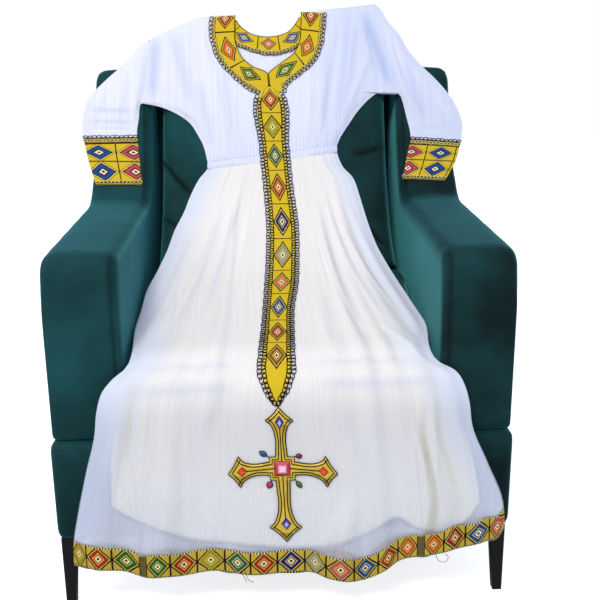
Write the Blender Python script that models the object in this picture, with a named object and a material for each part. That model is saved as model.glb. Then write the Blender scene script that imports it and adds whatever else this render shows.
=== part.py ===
"""A habesha kemis dress laid over a velvet wing armchair, at its real size.

Units are metres, +Z is up, the chair faces -Y and the sitter's left is +X.
The origin lies on the floor, at the middle of the whole object's box.

The dress lies on one line, the bed, that runs down the back cushion, over the
seat cushion and straight down in front of the chair.  A point of any cloth
piece is given by x across the chair, s down the bed from the shoulder level,
and a lift off the bed.
"""
import math

import bmesh
import bpy
import numpy as np

for old_object in list(bpy.data.objects):
    bpy.data.objects.remove(old_object, do_unlink=True)

MM = 0.001

# Driving sizes of the chair
ARM_FRONT_Y = -0.3255
ARM_INNER_X = 0.270
ARM_OUTER_X = 0.400
WING_OUTER_X = 0.391
BACK_Y = 0.720
DECK_Z = 0.3195
PLINTH_FOOT_Z = 0.135
PLINTH_OUTER_X = 0.404
PLINTH_PROUD = 0.010
ARM_TOP_Z = 0.655
WING_TOP_Z = 0.943
BACK_TOP_Z = 0.990
JOIN_GAP = 0.0004

# Driving sizes of the cloth, as lifts off the bed
WALL = 1.2 * MM
SLIP_WALL = 1.0 * MM
SEAM_GAP = 0.4 * MM
BACK_LOW = 0.5 * MM
PANEL_TOP = 6.2 * MM
EDGE_TOP = BACK_LOW + WALL + SEAM_GAP + WALL
TRIM_LOW = PANEL_TOP + 0.5 * MM
TRIM_TOP = TRIM_LOW + WALL
CASING_HEIGHT = 0.014
HEM_BAND_HEIGHT = 0.043

# The bed, from above the shoulders to below the hem: depth behind the arms' front, and height
BED = (
    (0.660, 1.210),
    (0.600, 1.060),
    (0.537, 0.890),
    (0.483, 0.740),
    (0.412, 0.630),
    (0.315, 0.553),
    (0.205, 0.506),
    (0.100, 0.476),
    (0.012, 0.455),
    (-0.025, 0.430),
    (-0.0375, 0.392),
    (-0.0385, 0.375),
    (-0.0388, 0.360),
    (-0.0450, 0.050),
    (-0.0480, -0.100),
)
SHOULDER_ROW = 1


def smooth_line(points, steps):
    """A smooth curve through the points, its slope at each weighted by the nearer neighbour."""
    pts = np.array(points)
    spans = np.hypot(*np.diff(pts, axis=0).T)
    slopes = np.diff(pts, axis=0) / spans[:, None]
    tangents = [slopes[0]]
    for k in range(1, len(pts) - 1):
        before, after = spans[k - 1], spans[k]
        tangents.append((slopes[k - 1] * after + slopes[k] * before) / (before + after))
    tangents.append(slopes[-1])
    line = []
    for k, span in enumerate(spans):
        for step in range(steps):
            t = step / steps
            ease = 3 * t ** 2 - 2 * t ** 3
            bend = (t ** 3 - 2 * t ** 2 + t) * tangents[k] + (t ** 3 - t ** 2) * tangents[k + 1]
            line.append((1 - ease) * pts[k] + ease * pts[k + 1] + span * bend)
    line.append(pts[-1])
    return np.array(line)


BED_STEPS = 60
BED_LINE = smooth_line(BED, BED_STEPS)
BED_S = np.concatenate([[0.0], np.cumsum(np.hypot(*np.diff(BED_LINE, axis=0).T))])
BED_S -= BED_S[SHOULDER_ROW * BED_STEPS]
BED_TANGENT = np.gradient(BED_LINE, BED_S, axis=0)


def lay(x, s, lift):
    """The point at x, at s down the bed, lifted off it along the bed's normal."""
    y = np.interp(s, BED_S, BED_LINE[:, 0])
    z = np.interp(s, BED_S, BED_LINE[:, 1])
    along_y = np.interp(s, BED_S, BED_TANGENT[:, 0])
    along_z = np.interp(s, BED_S, BED_TANGENT[:, 1])
    size = math.hypot(along_y, along_z)
    return (x, ARM_FRONT_Y + y + lift * along_z / size, z - lift * along_y / size)


def smoothstep(value, low, high):
    """Rises from 0 at low to 1 at high."""
    t = min(1.0, max(0.0, (value - low) / (high - low)))
    return t * t * (3 - 2 * t)


def between(a, b, t):
    """The point or number a share t of the way from a to b."""
    if isinstance(a, tuple):
        return tuple(p + (q - p) * t for p, q in zip(a, b))
    return a + (b - a) * t


def column(table, s, index):
    """One column of a table of rows sorted by their first value, read at s."""
    return float(np.interp(s, [row[0] for row in table], [row[index] for row in table]))


def material(name, colour, roughness):
    """A plain material of one linear colour."""
    made = bpy.data.materials.new(name)
    made.use_nodes = True
    shader = made.node_tree.nodes["Principled BSDF"]
    shader.inputs["Base Color"].default_value = (*colour, 1.0)
    shader.inputs["Roughness"].default_value = roughness
    shader.inputs["Metallic"].default_value = 0.0
    return made


COTTON = material("white_handwoven_cotton", (0.86, 0.85, 0.82), 0.85)
LINING = material("ivory_slip_lining", (0.78, 0.76, 0.68), 0.6)
TIBEB = material("gold_embroidered_border", (0.80, 0.58, 0.06), 0.7)
VELVET = material("dark_green_velvet", (0.006, 0.07, 0.06), 0.8)
BLACK_WOOD = material("black_leg_lacquer", (0.01, 0.01, 0.01), 0.4)


def add_solid(name, verts, faces, finish, smooth_angle=35):
    """A closed body from its points and faces, with all faces turned outwards."""
    mesh = bpy.data.meshes.new(name)
    bm = bmesh.new()
    points = [bm.verts.new(v) for v in verts]
    for face in faces:
        bm.faces.new([points[i] for i in face])
    bmesh.ops.recalc_face_normals(bm, faces=bm.faces)
    bm.to_mesh(mesh)
    bm.free()
    mesh.materials.append(finish)
    mesh.shade_smooth()
    mesh.set_sharp_from_angle(angle=math.radians(smooth_angle))
    thing = bpy.data.objects.new(name, mesh)
    bpy.context.collection.objects.link(thing)
    return thing


def sheet(name, rows, top, wall, finish):
    """A wall of cloth over a grid of (x, s) rows.

    top(x, s, column, row) is the lift of its upper side.  A point that two
    columns share is one point, so a row may close up where a slit ends.
    """
    index = {}
    upper = []
    lower = []
    grid = []
    for i, row in enumerate(rows):
        line = []
        for j, (x, s) in enumerate(row):
            key = (round(x, 6), round(s, 6))
            if key not in index:
                index[key] = len(upper)
                lift = top(x, s, j, i)
                upper.append(lay(x, s, lift))
                lower.append(lay(x, s, lift - wall))
            line.append(index[key])
        grid.append(line)
    triangles = []
    for above, below in zip(grid, grid[1:]):
        for a, b, c, d in zip(above, above[1:], below[1:], below):
            for triangle in ((a, b, c), (a, c, d)):
                if len(set(triangle)) == 3:
                    triangles.append(triangle)
    return close_wall(name, upper, lower, triangles, finish)


def close_wall(name, upper, lower, triangles, finish):
    """Joins an upper and a lower skin along every edge that only one face uses."""
    count = len(upper)
    edges = {}
    for tri in triangles:
        for a, b in zip(tri, tri[1:] + tri[:1]):
            edges[(a, b)] = edges.get((a, b), 0) + 1
    faces = list(triangles)
    faces += [tuple(i + count for i in reversed(tri)) for tri in triangles]
    for a, b in edges:
        if (b, a) not in edges:
            faces.append((b, a, a + count))
            faces.append((b, a + count, b + count))
    return add_solid(name, upper + lower, faces, finish)


def flat_tube(name, sections, front_shares, back_shares, top, low, wall, finish):
    """A flattened tube of cloth through sections, each an (x, s) point at its two sides.

    top(share, x, s, row) is the lift of the front layer's upper side and
    low(share, x, s, row) that of the back layer's underside.  Share runs
    from 0 at the first side to 1 at the other.
    """
    edge_inset = 1.6 * wall
    outer = []
    inner = []
    for i, (first, last) in enumerate(sections):
        width = math.dist(first, last)
        inset = edge_inset / width
        out_loop = []
        in_loop = []

        def edge(share, inner_share):
            x, s = between(first, last, share)
            beside = between(first, last, min(max(share, 0.06), 0.94))
            level = 0.45 * top(share, *beside, i) + 0.55 * low(share, *beside, i)
            out_loop.append(lay(x, s, level))
            x, s = between(first, last, inner_share)
            in_loop.append(lay(x, s, level))

        edge(0.0, inset)
        for share in front_shares:
            x, s = between(first, last, share)
            lift = top(share, x, s, i)
            out_loop.append(lay(x, s, lift))
            in_loop.append(lay(x, s, lift - wall))
        edge(1.0, 1.0 - inset)
        for share in reversed(back_shares):
            x, s = between(first, last, share)
            lift = low(share, x, s, i)
            out_loop.append(lay(x, s, lift))
            in_loop.append(lay(x, s, lift + wall))
        outer.append(out_loop)
        inner.append(in_loop)
    around = len(outer[0])
    total = around * len(outer)
    verts = [p for loop in outer for p in loop] + [p for loop in inner for p in loop]
    faces = []
    for i in range(len(outer) - 1):
        for j in range(around):
            a = i * around + j
            b = i * around + (j + 1) % around
            faces += [(a, b, b + around), (a, b + around, a + around)]
            faces += [(b + total, a + total, b + around + total)]
            faces += [(b + around + total, a + total, a + around + total)]
    for start, turn in ((0, 1), ((len(outer) - 1) * around, -1)):
        for j in range(around):
            a = start + j
            b = start + (j + 1) % around
            quad = (a, a + total, b + total, b)
            faces += [quad[::turn][:3], (quad[::turn][0], quad[::turn][2], quad[::turn][3])]
    return add_solid(name, verts, faces, finish)


# Chair: seat cushion, back cushion, back, side pieces, plinth and legs

# The lines across the chair where the cloth changes height, shared by cushions and cloth
SKIRT_STATIONS = (0.375, 0.42, 0.47, 0.53, 0.59, 0.65, 0.71, 0.77, 0.83, 0.88,
                  0.915, 0.935, 0.952, 0.969, 0.985, 1.005, 1.06, 1.12, 1.17)
SEAT_STATIONS = [s for s in SKIRT_STATIONS if 0.62 < s < 1.01]
BACK_STATIONS = [0.10, 0.15, 0.19, 0.22, 0.25, 0.28, 0.31, 0.34] + [s for s in SKIRT_STATIONS if s < 0.6]

CUSHION_HALF = 0.262
BACK_CUSHION_HALF = 0.247
BACK_THICKNESS = 0.1058
CUSHION_REAR_Y = BACK_Y - BACK_THICKNESS
# the level and depths at which the back cushion stands on the seat cushion
CUSHION_JOIN_Z = 0.536
SEAT_LEVEL_FRONT_Y = 0.315
BACK_CUSHION_FOOT_Y = 0.345
BACK_CUSHION_TOP_Y = 0.60
BACK_CUSHION_CROWN = 0.012
CROWN_FLAT_HALF = 0.2
CROWN_SLOPE = 0.3
# how far in from a cushion's side, and how far below its face there
CUSHION_ROLL = ((0.0, 0.030), (0.010, 0.009), (0.026, 0.0))


def pillow_rows(half, stations):
    """Points across a cushion's face at each station, flat in the middle, rolled at its sides."""
    rows = []
    for s in stations:
        row = []
        for inset, drop in CUSHION_ROLL:
            row.append((-half + inset, -drop))
        row.append((0.0, 0.0))
        for inset, drop in reversed(CUSHION_ROLL):
            row.append((half - inset, -drop))
        rows.append([lay(x, s, lift) for x, lift in row])
    return rows


def cushion(name, rows, under):
    """A closed cushion below or behind its face rows; under(point) gives each point's far side."""
    across = len(rows[0])
    verts = [p for row in rows for p in row]
    count = len(verts)
    verts += [under(p) for p in verts]
    faces = []
    for i in range(len(rows) - 1):
        for j in range(across - 1):
            a = i * across + j
            faces.append((a, a + 1, a + across + 1, a + across))
            faces.append((a + count, a + across + count, a + across + 1 + count, a + 1 + count))
    rim = list(range(across))
    rim += [i * across + across - 1 for i in range(1, len(rows))]
    rim += [(len(rows) - 1) * across + j for j in range(across - 2, -1, -1)]
    rim += [i * across for i in range(len(rows) - 2, 0, -1)]
    for a, b in zip(rim, rim[1:] + rim[:1]):
        faces.append((b, a, a + count, b + count))
    return add_solid(name, verts, faces, VELVET)


def make_seat_cushion():
    """The seat cushion, crowned where the skirt lies and level under the back cushion."""
    rows = pillow_rows(CUSHION_HALF, SEAT_STATIONS)
    level = CUSHION_JOIN_Z - JOIN_GAP
    level_depths = (CUSHION_REAR_Y, SEAT_LEVEL_FRONT_Y)
    rows = [[(x, ARM_FRONT_Y + y, level) for x, _, _ in rows[0]] for y in level_depths] + rows
    return cushion("seat_cushion", rows, lambda p: (p[0], p[1], DECK_Z + JOIN_GAP))


def make_back_cushion():
    """The back cushion, whose leaning face carries the bodice and the top of the skirt."""
    rows = pillow_rows(BACK_CUSHION_HALF, BACK_STATIONS)
    rows = [[(x, y, max(z, CUSHION_JOIN_Z)) for x, y, z in row] for row in rows]
    middle = len(CUSHION_ROLL)
    crown_z = rows[0][middle][2] + BACK_CUSHION_CROWN
    top_y = ARM_FRONT_Y + BACK_CUSHION_TOP_Y
    top = [(x, top_y, crown_z - CROWN_SLOPE * max(0, abs(x) - CROWN_FLAT_HALF)) for x, _, _ in rows[0]]
    foot =[(x, ARM_FRONT_Y + BACK_CUSHION_FOOT_Y, CUSHION_JOIN_Z) for x, _, _ in rows[-1]]
    rows = [top] + rows + [foot]
    rear = ARM_FRONT_Y + CUSHION_REAR_Y
    return cushion("back_cushion", rows, lambda p: (p[0], rear, p[2]))


def slab(name, outline, x_low, x_high, bevel, finish, segments=3):
    """A board cut to a side outline of (y, z) points, with both faces' edges rounded."""
    bm = bmesh.new()
    points = [bm.verts.new((x_low, ARM_FRONT_Y + y, z)) for y, z in outline]
    face = bm.faces.new(points)
    pushed = bmesh.ops.extrude_face_region(bm, geom=[face])
    far = [v for v in pushed["geom"] if isinstance(v, bmesh.types.BMVert)]
    bmesh.ops.translate(bm, verts=far, vec=(x_high - x_low, 0, 0))
    bmesh.ops.recalc_face_normals(bm, faces=bm.faces)
    rims = [e for e in bm.edges
            if abs(e.verts[0].co.x - e.verts[1].co.x) < MM and min(v.co.z for v in e.verts) > DECK_Z + MM]
    bmesh.ops.bevel(bm, geom=rims, offset=bevel, segments=segments, profile=0.5,
                    affect="EDGES", clamp_overlap=True, material=-1)
    mesh = bpy.data.meshes.new(name)
    bm.to_mesh(mesh)
    bm.free()
    mesh.materials.append(finish)
    mesh.shade_smooth()
    mesh.set_sharp_from_angle(angle=math.radians(40))
    thing = bpy.data.objects.new(name, mesh)
    bpy.context.collection.objects.link(thing)
    return thing


def arc(centre, radius, start, end, count):
    """Points of an arc in the side view, angles in degrees from +Y towards +Z."""
    points = []
    for k in range(count + 1):
        angle = math.radians(between(start, end, k / count))
        points.append((centre[0] + radius * math.cos(angle), centre[1] + radius * math.sin(angle)))
    return points


def side_outline():
    """Arm and wing in one: the arm's round front, its top, the sweep up and the wing."""
    arm_round = 0.038
    arm_fall = 0.012
    points = [(0.0, DECK_Z + JOIN_GAP)]
    points += arc((arm_round, ARM_TOP_Z - arm_fall - arm_round), arm_round, 180, 95, 4)
    points += [(0.20, ARM_TOP_Z), (0.35, ARM_TOP_Z + 0.011), (0.410, ARM_TOP_Z + 0.016),
               (0.437, ARM_TOP_Z + 0.022)]
    for s in (0.396, 0.365, 0.330, 0.290, 0.240, 0.190, 0.145):
        _, y, z = lay(0.0, s, 0.0)
        points.append((y - ARM_FRONT_Y, z))
    points += [(0.556, WING_TOP_Z - 0.012), (0.572, WING_TOP_Z)]
    points += [(BACK_Y - 0.03, WING_TOP_Z + 0.004), (BACK_Y, WING_TOP_Z - 0.026)]
    points += [(BACK_Y, DECK_Z + JOIN_GAP)]
    return points


def make_sides():
    """The left and right pieces; above the arm each one's outer face draws in to the wing."""
    for side, name in ((-1, "side_left"), (1, "side_right")):
        thing = slab(name, side_outline(), ARM_INNER_X, ARM_OUTER_X, 0.020, VELVET)
        for vert in thing.data.vertices:
            draw = smoothstep(vert.co.z, ARM_TOP_Z, 0.80) * smoothstep(vert.co.x, ARM_INNER_X, ARM_OUTER_X)
            vert.co.x = side * (vert.co.x - draw * (ARM_OUTER_X - WING_OUTER_X))
        if side < 0:
            thing.data.flip_normals()


def make_back():
    """The upright back between the sides, its top a low arch."""
    half = ARM_INNER_X - JOIN_GAP
    front = ARM_FRONT_Y + CUSHION_REAR_Y + JOIN_GAP
    rear = ARM_FRONT_Y + BACK_Y
    across = 12
    verts = []
    for y, drop in ((front, 0.014), (front + 0.020, 0.0), (rear - 0.020, 0.0), (rear, 0.014)):
        for k in range(across + 1):
            x = between(-half, half, k / across)
            arch = BACK_TOP_Z - (BACK_TOP_Z - WING_TOP_Z) * (x / half) ** 2
            verts.append((x, y, arch - drop))
    lines = 4
    wide = across + 1
    for y in (front, rear):
        for k in (0, across):
            verts.append((between(-half, half, k / across), y, DECK_Z + JOIN_GAP))
    faces = []
    for i in range(lines - 1):
        for k in range(across):
            a = i * wide + k
            faces.append((a, a + 1, a + wide + 1, a + wide))
    base = lines * wide
    front_left, front_right, rear_left, rear_right = base, base + 1, base + 2, base + 3
    faces.append(tuple(range(wide)) + (front_right, front_left))
    faces.append(tuple(3 * wide + k for k in range(wide)) + (rear_right, rear_left))
    faces.append((0, wide, 2 * wide, 3 * wide, rear_left, front_left))
    faces.append((across, wide + across, 2 * wide + across, 3 * wide + across, rear_right, front_right))
    faces.append((front_left, front_right, rear_right, rear_left))
    add_solid("back", verts, faces, VELVET)


def box(name, low, high, bevel, finish):
    """A block between two corners with its edges rounded."""
    bm = bmesh.new()
    bmesh.ops.create_cube(bm, size=1.0)
    for vert in bm.verts:
        vert.co = [low[k] if vert.co[k] < 0 else high[k] for k in range(3)]
    bmesh.ops.bevel(bm, geom=list(bm.edges), offset=bevel, segments=2, profile=0.5,
                    affect="EDGES", clamp_overlap=True, material=-1)
    bmesh.ops.recalc_face_normals(bm, faces=bm.faces)
    mesh = bpy.data.meshes.new(name)
    bm.to_mesh(mesh)
    bm.free()
    mesh.materials.append(finish)
    thing = bpy.data.objects.new(name, mesh)
    bpy.context.collection.objects.link(thing)


def make_legs():
    """Four black legs, tapered to a small foot, each with a bracket curve at its inner top."""
    foot = 0.017
    top = 0.029
    bracket = 0.020
    outer = PLINTH_OUTER_X - 0.005
    # height, and how far the leg reaches in from its outer corner
    profile = ((0.0, foot), (0.090, 0.0235), (0.112, top - 0.003),
               (0.124, top + 0.3 * bracket), (PLINTH_FOOT_Z - JOIN_GAP, top + bracket))
    for side, side_name in ((-1, "left"), (1, "right")):
        for end, end_name in ((-1, "front"), (1, "rear")):
            y_outer = ARM_FRONT_Y + (0.001 if end < 0 else BACK_Y - 0.010)
            verts = []
            for z, reach in profile:
                depth = min(reach, top)
                for along, inward in ((0, 0), (reach, 0), (reach, depth), (0, depth)):
                    verts.append((side * (outer - along), y_outer - end * inward, z))
            faces = [(0, 1, 2, 3), tuple(4 * (len(profile) - 1) + k for k in range(4))]
            for i in range(len(profile) - 1):
                for k in range(4):
                    a = 4 * i + k
                    b = 4 * i + (k + 1) % 4
                    faces.append((a, b, b + 4, a + 4))
            add_solid(f"leg_{end_name}_{side_name}", verts, faces, BLACK_WOOD, 20)


# Dress: outlines as (x, s), read from the seams and edges of the laid garment

WAIST_LEFT_X = -0.147
WAIST_RIGHT_X = 0.135
# x across, and s of the waist seam
WAIST_LINE = ((-0.160, 0.349), (0.150, 0.311))
# s, left edge x, right edge x
SKIRT_EDGES = (
    (0.300, -0.143, 0.131),
    (0.345, -0.147, 0.140),
    (0.371, -0.166, 0.179),
    (0.415, -0.186, 0.193),
    (0.448, -0.197, 0.200),
    (0.493, -0.215, 0.206),
    (0.544, -0.227, 0.214),
    (0.601, -0.242, 0.226),
    (0.668, -0.258, 0.241),
    (0.740, -0.262, 0.255),
    (0.800, -0.265, 0.265),
    (0.932, -0.266, 0.266),
    (0.952, -0.284, 0.292),
    (0.974, -0.301, 0.304),
    (1.003, -0.310, 0.312),
    (1.043, -0.316, 0.318),
    (1.112, -0.335, 0.347),
    (1.184, -0.353, 0.377),
    (1.236, -0.364, 0.383),
    (1.300, -0.368, 0.384),
)
# x across, and s of the hem's lower edge
HEM_LINE = (
    (-0.366, 1.280),
    (-0.330, 1.293),
    (-0.280, 1.297),
    (-0.240, 1.311),
    (-0.195, 1.311),
    (-0.130, 1.301),
    (-0.060, 1.313),
    (0.010, 1.309),
    (0.045, 1.311),
    (0.075, 1.326),
    (0.105, 1.333),
    (0.137, 1.328),
    (0.170, 1.314),
    (0.200, 1.293),
    (0.250, 1.286),
    (0.290, 1.277),
    (0.340, 1.265),
    (0.370, 1.257),
    (0.384, 1.232),
)
# s, left edge x, right edge x
SLIP_EDGES = (
    (0.375, -0.120, 0.118),
    (0.600, -0.200, 0.190),
    (0.930, -0.238, 0.236),
    (1.040, -0.283, 0.300),
    (1.180, -0.296, 0.336),
    (1.270, -0.298, 0.340),
)
# x across, and s of the slip's hem
SLIP_HEM = ((-0.295, 1.178), (-0.234, 1.215), (-0.166, 1.240), (-0.080, 1.254), (0.040, 1.264),
            (0.085, 1.262), (0.147, 1.239), (0.205, 1.212), (0.290, 1.228), (0.336, 1.190))
# s, centre x and half width of the front placket, which ends in a point
PLACKET = (
    (0.1790, -0.0090, 0.0330),
    (0.300, -0.0020, 0.0315),
    (0.396, 0.0050, 0.0310),
    (0.480, 0.0110, 0.0330),
    (0.580, 0.0090, 0.0330),
    (0.660, 0.0045, 0.0325),
    (0.745, -0.0030, 0.0285),
    (0.830, -0.0070, 0.0290),
    (0.912, -0.0105, 0.0305),
    (0.950, -0.0120, 0.0310),
    (0.975, -0.0125, 0.0200),
    (0.999, -0.0130, 0.0015),
)
CROSS_CENTRE = (-0.006, 1.114)
# x at the top, x at the hem, height at the seat and at the hem in mm, half width at the hem
SKIRT_FOLDS = (
    (-0.128, -0.318, 2.5, 10.0, 0.034),
    (-0.108, -0.212, 4.0, 17.0, 0.038),
    (-0.082, -0.130, 5.0, 4.0, 0.030),
    (-0.060, -0.062, 3.0, 13.0, 0.044),
    (0.050, 0.098, 4.0, 22.0, 0.046),
    (0.072, 0.168, 6.0, 13.0, 0.032),
    (0.092, 0.222, 3.0, 2.0, 0.024),
    (0.108, 0.282, 5.0, 15.0, 0.038),
    (0.124, 0.345, 2.5, 9.0, 0.028),
)
# x across and depth in mm of the back panel's folds where it hangs free
BACK_FOLDS = ((-0.290, 9.0), (-0.170, 14.0), (-0.045, 10.0), (0.075, 15.0), (0.190, 11.0), (0.300, 9.0))

BACK_FOLD_HALF = 0.055

SKIRT_COLUMNS = 50
SKIRT_BACK_COLUMNS = 20
GATHER_HEIGHT = 2.6 * MM
# where the folds start and where they are full, as s down the bed
FOLD_START = 0.36
FOLD_FULL = 1.28
# a fold that comes forward hangs on a shorter line by this share of its height
FORWARD_SHORTENS = 0.65


def waist(x):
    """s of the waist seam at x."""
    return column(WAIST_LINE, x, 1)


def plain_zone(x, s):
    """0 where embroidery keeps the front flat, 1 well clear of it."""
    centre = column(PLACKET, s, 1)
    cross_reach = 1 - smoothstep(abs(s - CROSS_CENTRE[1]), 0.060, 0.120)
    reach = 0.046 + 0.062 * cross_reach
    return smoothstep(abs(x - centre), reach, reach + 0.032)


def skirt_fold(x, s):
    """Height of the large folds, which start small at the waist and grow to the hem."""
    run = min(1.0, max(0.0, (s - FOLD_START) / (FOLD_FULL - FOLD_START)))
    total = 0.0
    for top_x, hem_x, seat, hem, half in SKIRT_FOLDS:
        middle = between(top_x, hem_x, run ** 0.8)
        width = half * (0.30 + 0.70 * run)
        height = seat * smoothstep(run, 0.0, 0.25) + (hem - seat) * smoothstep(run, 0.66, 1.0)
        away = abs(x - middle) / width
        if away < 1:
            total += height * MM * math.cos(away * math.pi / 2) ** 2
    return total


def edge_rise(share, reach):
    """Brings a front panel down to the back panel along its two sides."""
    near = min(share, 1 - share)
    return smoothstep(near, 0.0, reach)


def skirt_front_top(x, s, share, gathers):
    """Lift of the skirt front's upper side."""
    body = PANEL_TOP + plain_zone(x, s) * (skirt_fold(x, s) + gathers)
    return EDGE_TOP + (body - EDGE_TOP) * edge_rise(share, 0.05)


def back_fold(x, s):
    """How far the back panel hangs in behind the bed, below the seat."""
    fade = smoothstep(s, 1.03, 1.25)
    total = 0.0
    for middle, depth in BACK_FOLDS:
        away = abs(x - middle) / BACK_FOLD_HALF
        if away < 1:
            total += depth * MM * math.cos(away * math.pi / 2) ** 2
    return total * fade


def skirt_row(columns, s_of):
    """One row across the skirt; s_of(x at the hem, x) gives s for each column."""
    row = []
    for j in range(columns + 1):
        share = j / columns
        x = between(SKIRT_EDGES[-1][1], SKIRT_EDGES[-1][2], share)
        for _ in range(3):
            s = s_of(x)
            x = between(column(SKIRT_EDGES, s, 1), column(SKIRT_EDGES, s, 2), share)
        row.append((x, s))
    return row


def hem(x, raise_by):
    """s of a line parallel to the hem; a fold that comes forward is cut a little shorter."""
    forward = plain_zone(x, FOLD_FULL) * skirt_fold(x, FOLD_FULL)
    return column(HEM_LINE, x, 1) - FORWARD_SHORTENS * forward - raise_by


def skirt_rows(columns):
    """All rows of a skirt panel, from the waist seam to the hem band."""
    rows = [skirt_row(columns, lambda x: waist(x) + SEAM_GAP)]
    for s in SKIRT_STATIONS:
        rows.append(skirt_row(columns, lambda x, level=s: level))
    rows.append(skirt_row(columns, lambda x: hem(x, HEM_BAND_HEIGHT + SEAM_GAP)))
    return rows


def gathers_at(j, s):
    """Every second column stands up as a gather just below the waist seam."""
    return GATHER_HEIGHT * (j % 2) * (1 - smoothstep(s, FOLD_START, 0.50))


def make_skirt():
    """The skirt's front and back panels and the border band sewn to each hem."""
    count = SKIRT_COLUMNS
    sheet("skirt_front", skirt_rows(count),
          lambda x, s, j, i: skirt_front_top(x, s, j / count, gathers_at(j, s)), WALL, COTTON)
    sheet("skirt_back", skirt_rows(SKIRT_BACK_COLUMNS),
          lambda x, s, j, i: BACK_LOW + WALL - back_fold(x, s) * edge_rise(j / SKIRT_BACK_COLUMNS, 0.08),
          WALL, COTTON)
    for name, columns in (("hem_band_front", count), ("hem_band_back", SKIRT_BACK_COLUMNS)):
        rows = []
        for share in (1.0, 0.5, 0.0):
            rows.append(skirt_row(columns, lambda x, up=share * HEM_BAND_HEIGHT: hem(x, up)))
        if name == "hem_band_front":
            sheet(name, rows, lambda x, s, j, i: skirt_front_top(x, s, j / count, 0.0), WALL, TIBEB)
        else:
            sheet(name, rows, lambda x, s, j, i: BACK_LOW + WALL
                  - back_fold(x, s) * edge_rise(j / SKIRT_BACK_COLUMNS, 0.08), WALL, TIBEB)


def make_slip():
    """The straight underskirt that shows through the sheer skirt."""
    sections = []
    for s in SKIRT_STATIONS:
        sections.append(((column(SLIP_EDGES, s, 1), s), (column(SLIP_EDGES, s, 2), s)))
    low = BACK_LOW + WALL + SEAM_GAP
    top = low + 2 * SLIP_WALL + 0.6 * MM
    front = [0.012] + [k / 16 for k in range(1, 16)] + [0.988]
    back = [0.015, 0.2, 0.4, 0.6, 0.8, 0.985]
    last = len(sections)

    def bottom(x):
        return column(SLIP_HEM, x, 1)

    left_x, right_x = SLIP_EDGES[-1][1], SLIP_EDGES[-1][2]
    sections.append(((left_x, bottom(left_x)), (right_x, bottom(right_x))))
    tube = flat_tube("slip", sections, front, back, lambda share, x, s, i: top,
                     lambda share, x, s, i: low, SLIP_WALL, LINING)
    around = len(front) + len(back) + 2
    shares = [0.0] + front + [1.0] + back[::-1]
    total = around * (last + 1)
    for j, share in enumerate(shares):
        x = between(left_x, right_x, share)
        straight = between(bottom(left_x), bottom(right_x), share)
        shift = np.subtract(lay(x, bottom(x), 0.0), lay(x, straight, 0.0))
        for index in (last * around + j, last * around + j + total):
            vert = tube.data.vertices[index]
            vert.co = [c + d for c, d in zip(vert.co, shift)]


def make_waist_casing():
    """The gathered elastic casing, a narrow ring between bodice and skirt."""
    sections = []
    for raise_by in (CASING_HEIGHT, CASING_HEIGHT / 2, 0.0):
        sections.append(((WAIST_LEFT_X, waist(WAIST_LEFT_X) - raise_by),
                         (WAIST_RIGHT_X, waist(WAIST_RIGHT_X) - raise_by)))
    count = 44
    front = [k / count for k in range(1, count)]
    back = [k / 12 for k in range(1, 12)]

    def top(share, x, s, i):
        j = round(share * count)
        rise = min(1.0, min(share, 1 - share) / 0.05)
        ripple = 1.6 * MM * (j % 2) * plain_zone(x, s)
        return between(4.4 * MM, PANEL_TOP, rise) + ripple

    flat_tube("waist_casing", sections, front, back, top, lambda share, x, s, i: BACK_LOW, WALL, COTTON)


# The dropped armhole seams, top and bottom, as (x, s)
ARMHOLE_LEFT = ((-0.2710, 0.057), (-0.2865, 0.199))
ARMHOLE_RIGHT = ((0.2280, -0.026), (0.2750, 0.184))
# neck edge left x and s, neck edge right x and s, from the shoulder to the foot of the V
NECK_EDGES = (
    (-0.084, 0.004, 0.066, -0.004),
    (-0.085, 0.030, 0.0645, 0.026),
    (-0.084, 0.066, 0.062, 0.060),
    (-0.073, 0.096, 0.044, 0.095),
    (-0.046, 0.122, 0.012, 0.120),
    (-0.0135, 0.139, -0.0135, 0.139),
    (-0.011, 0.168, -0.011, 0.168),
)
# left side seam x and s, middle x and s, right side seam x and s, below the armholes
SIDE_SEAMS = (
    (-0.2480, 0.207, -0.009, 0.192, 0.2350, 0.179),
    (-0.2140, 0.222, -0.007, 0.216, 0.2140, 0.190),
    (-0.1840, 0.244, -0.005, 0.242, 0.1850, 0.219),
    (-0.1670, 0.271, -0.003, 0.270, 0.1640, 0.248),
    (-0.1540, 0.300, -0.001, 0.300, 0.1430, 0.280),
)
# the lowest point of the back neck
BACK_NECK_X = -0.010
BACK_NECK_S = 0.047
ARMHOLE_ROWS = len(NECK_EDGES) - 1
BODICE_HALF_COLUMNS = 14
BODICE_BACK_COLUMNS = 12


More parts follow.
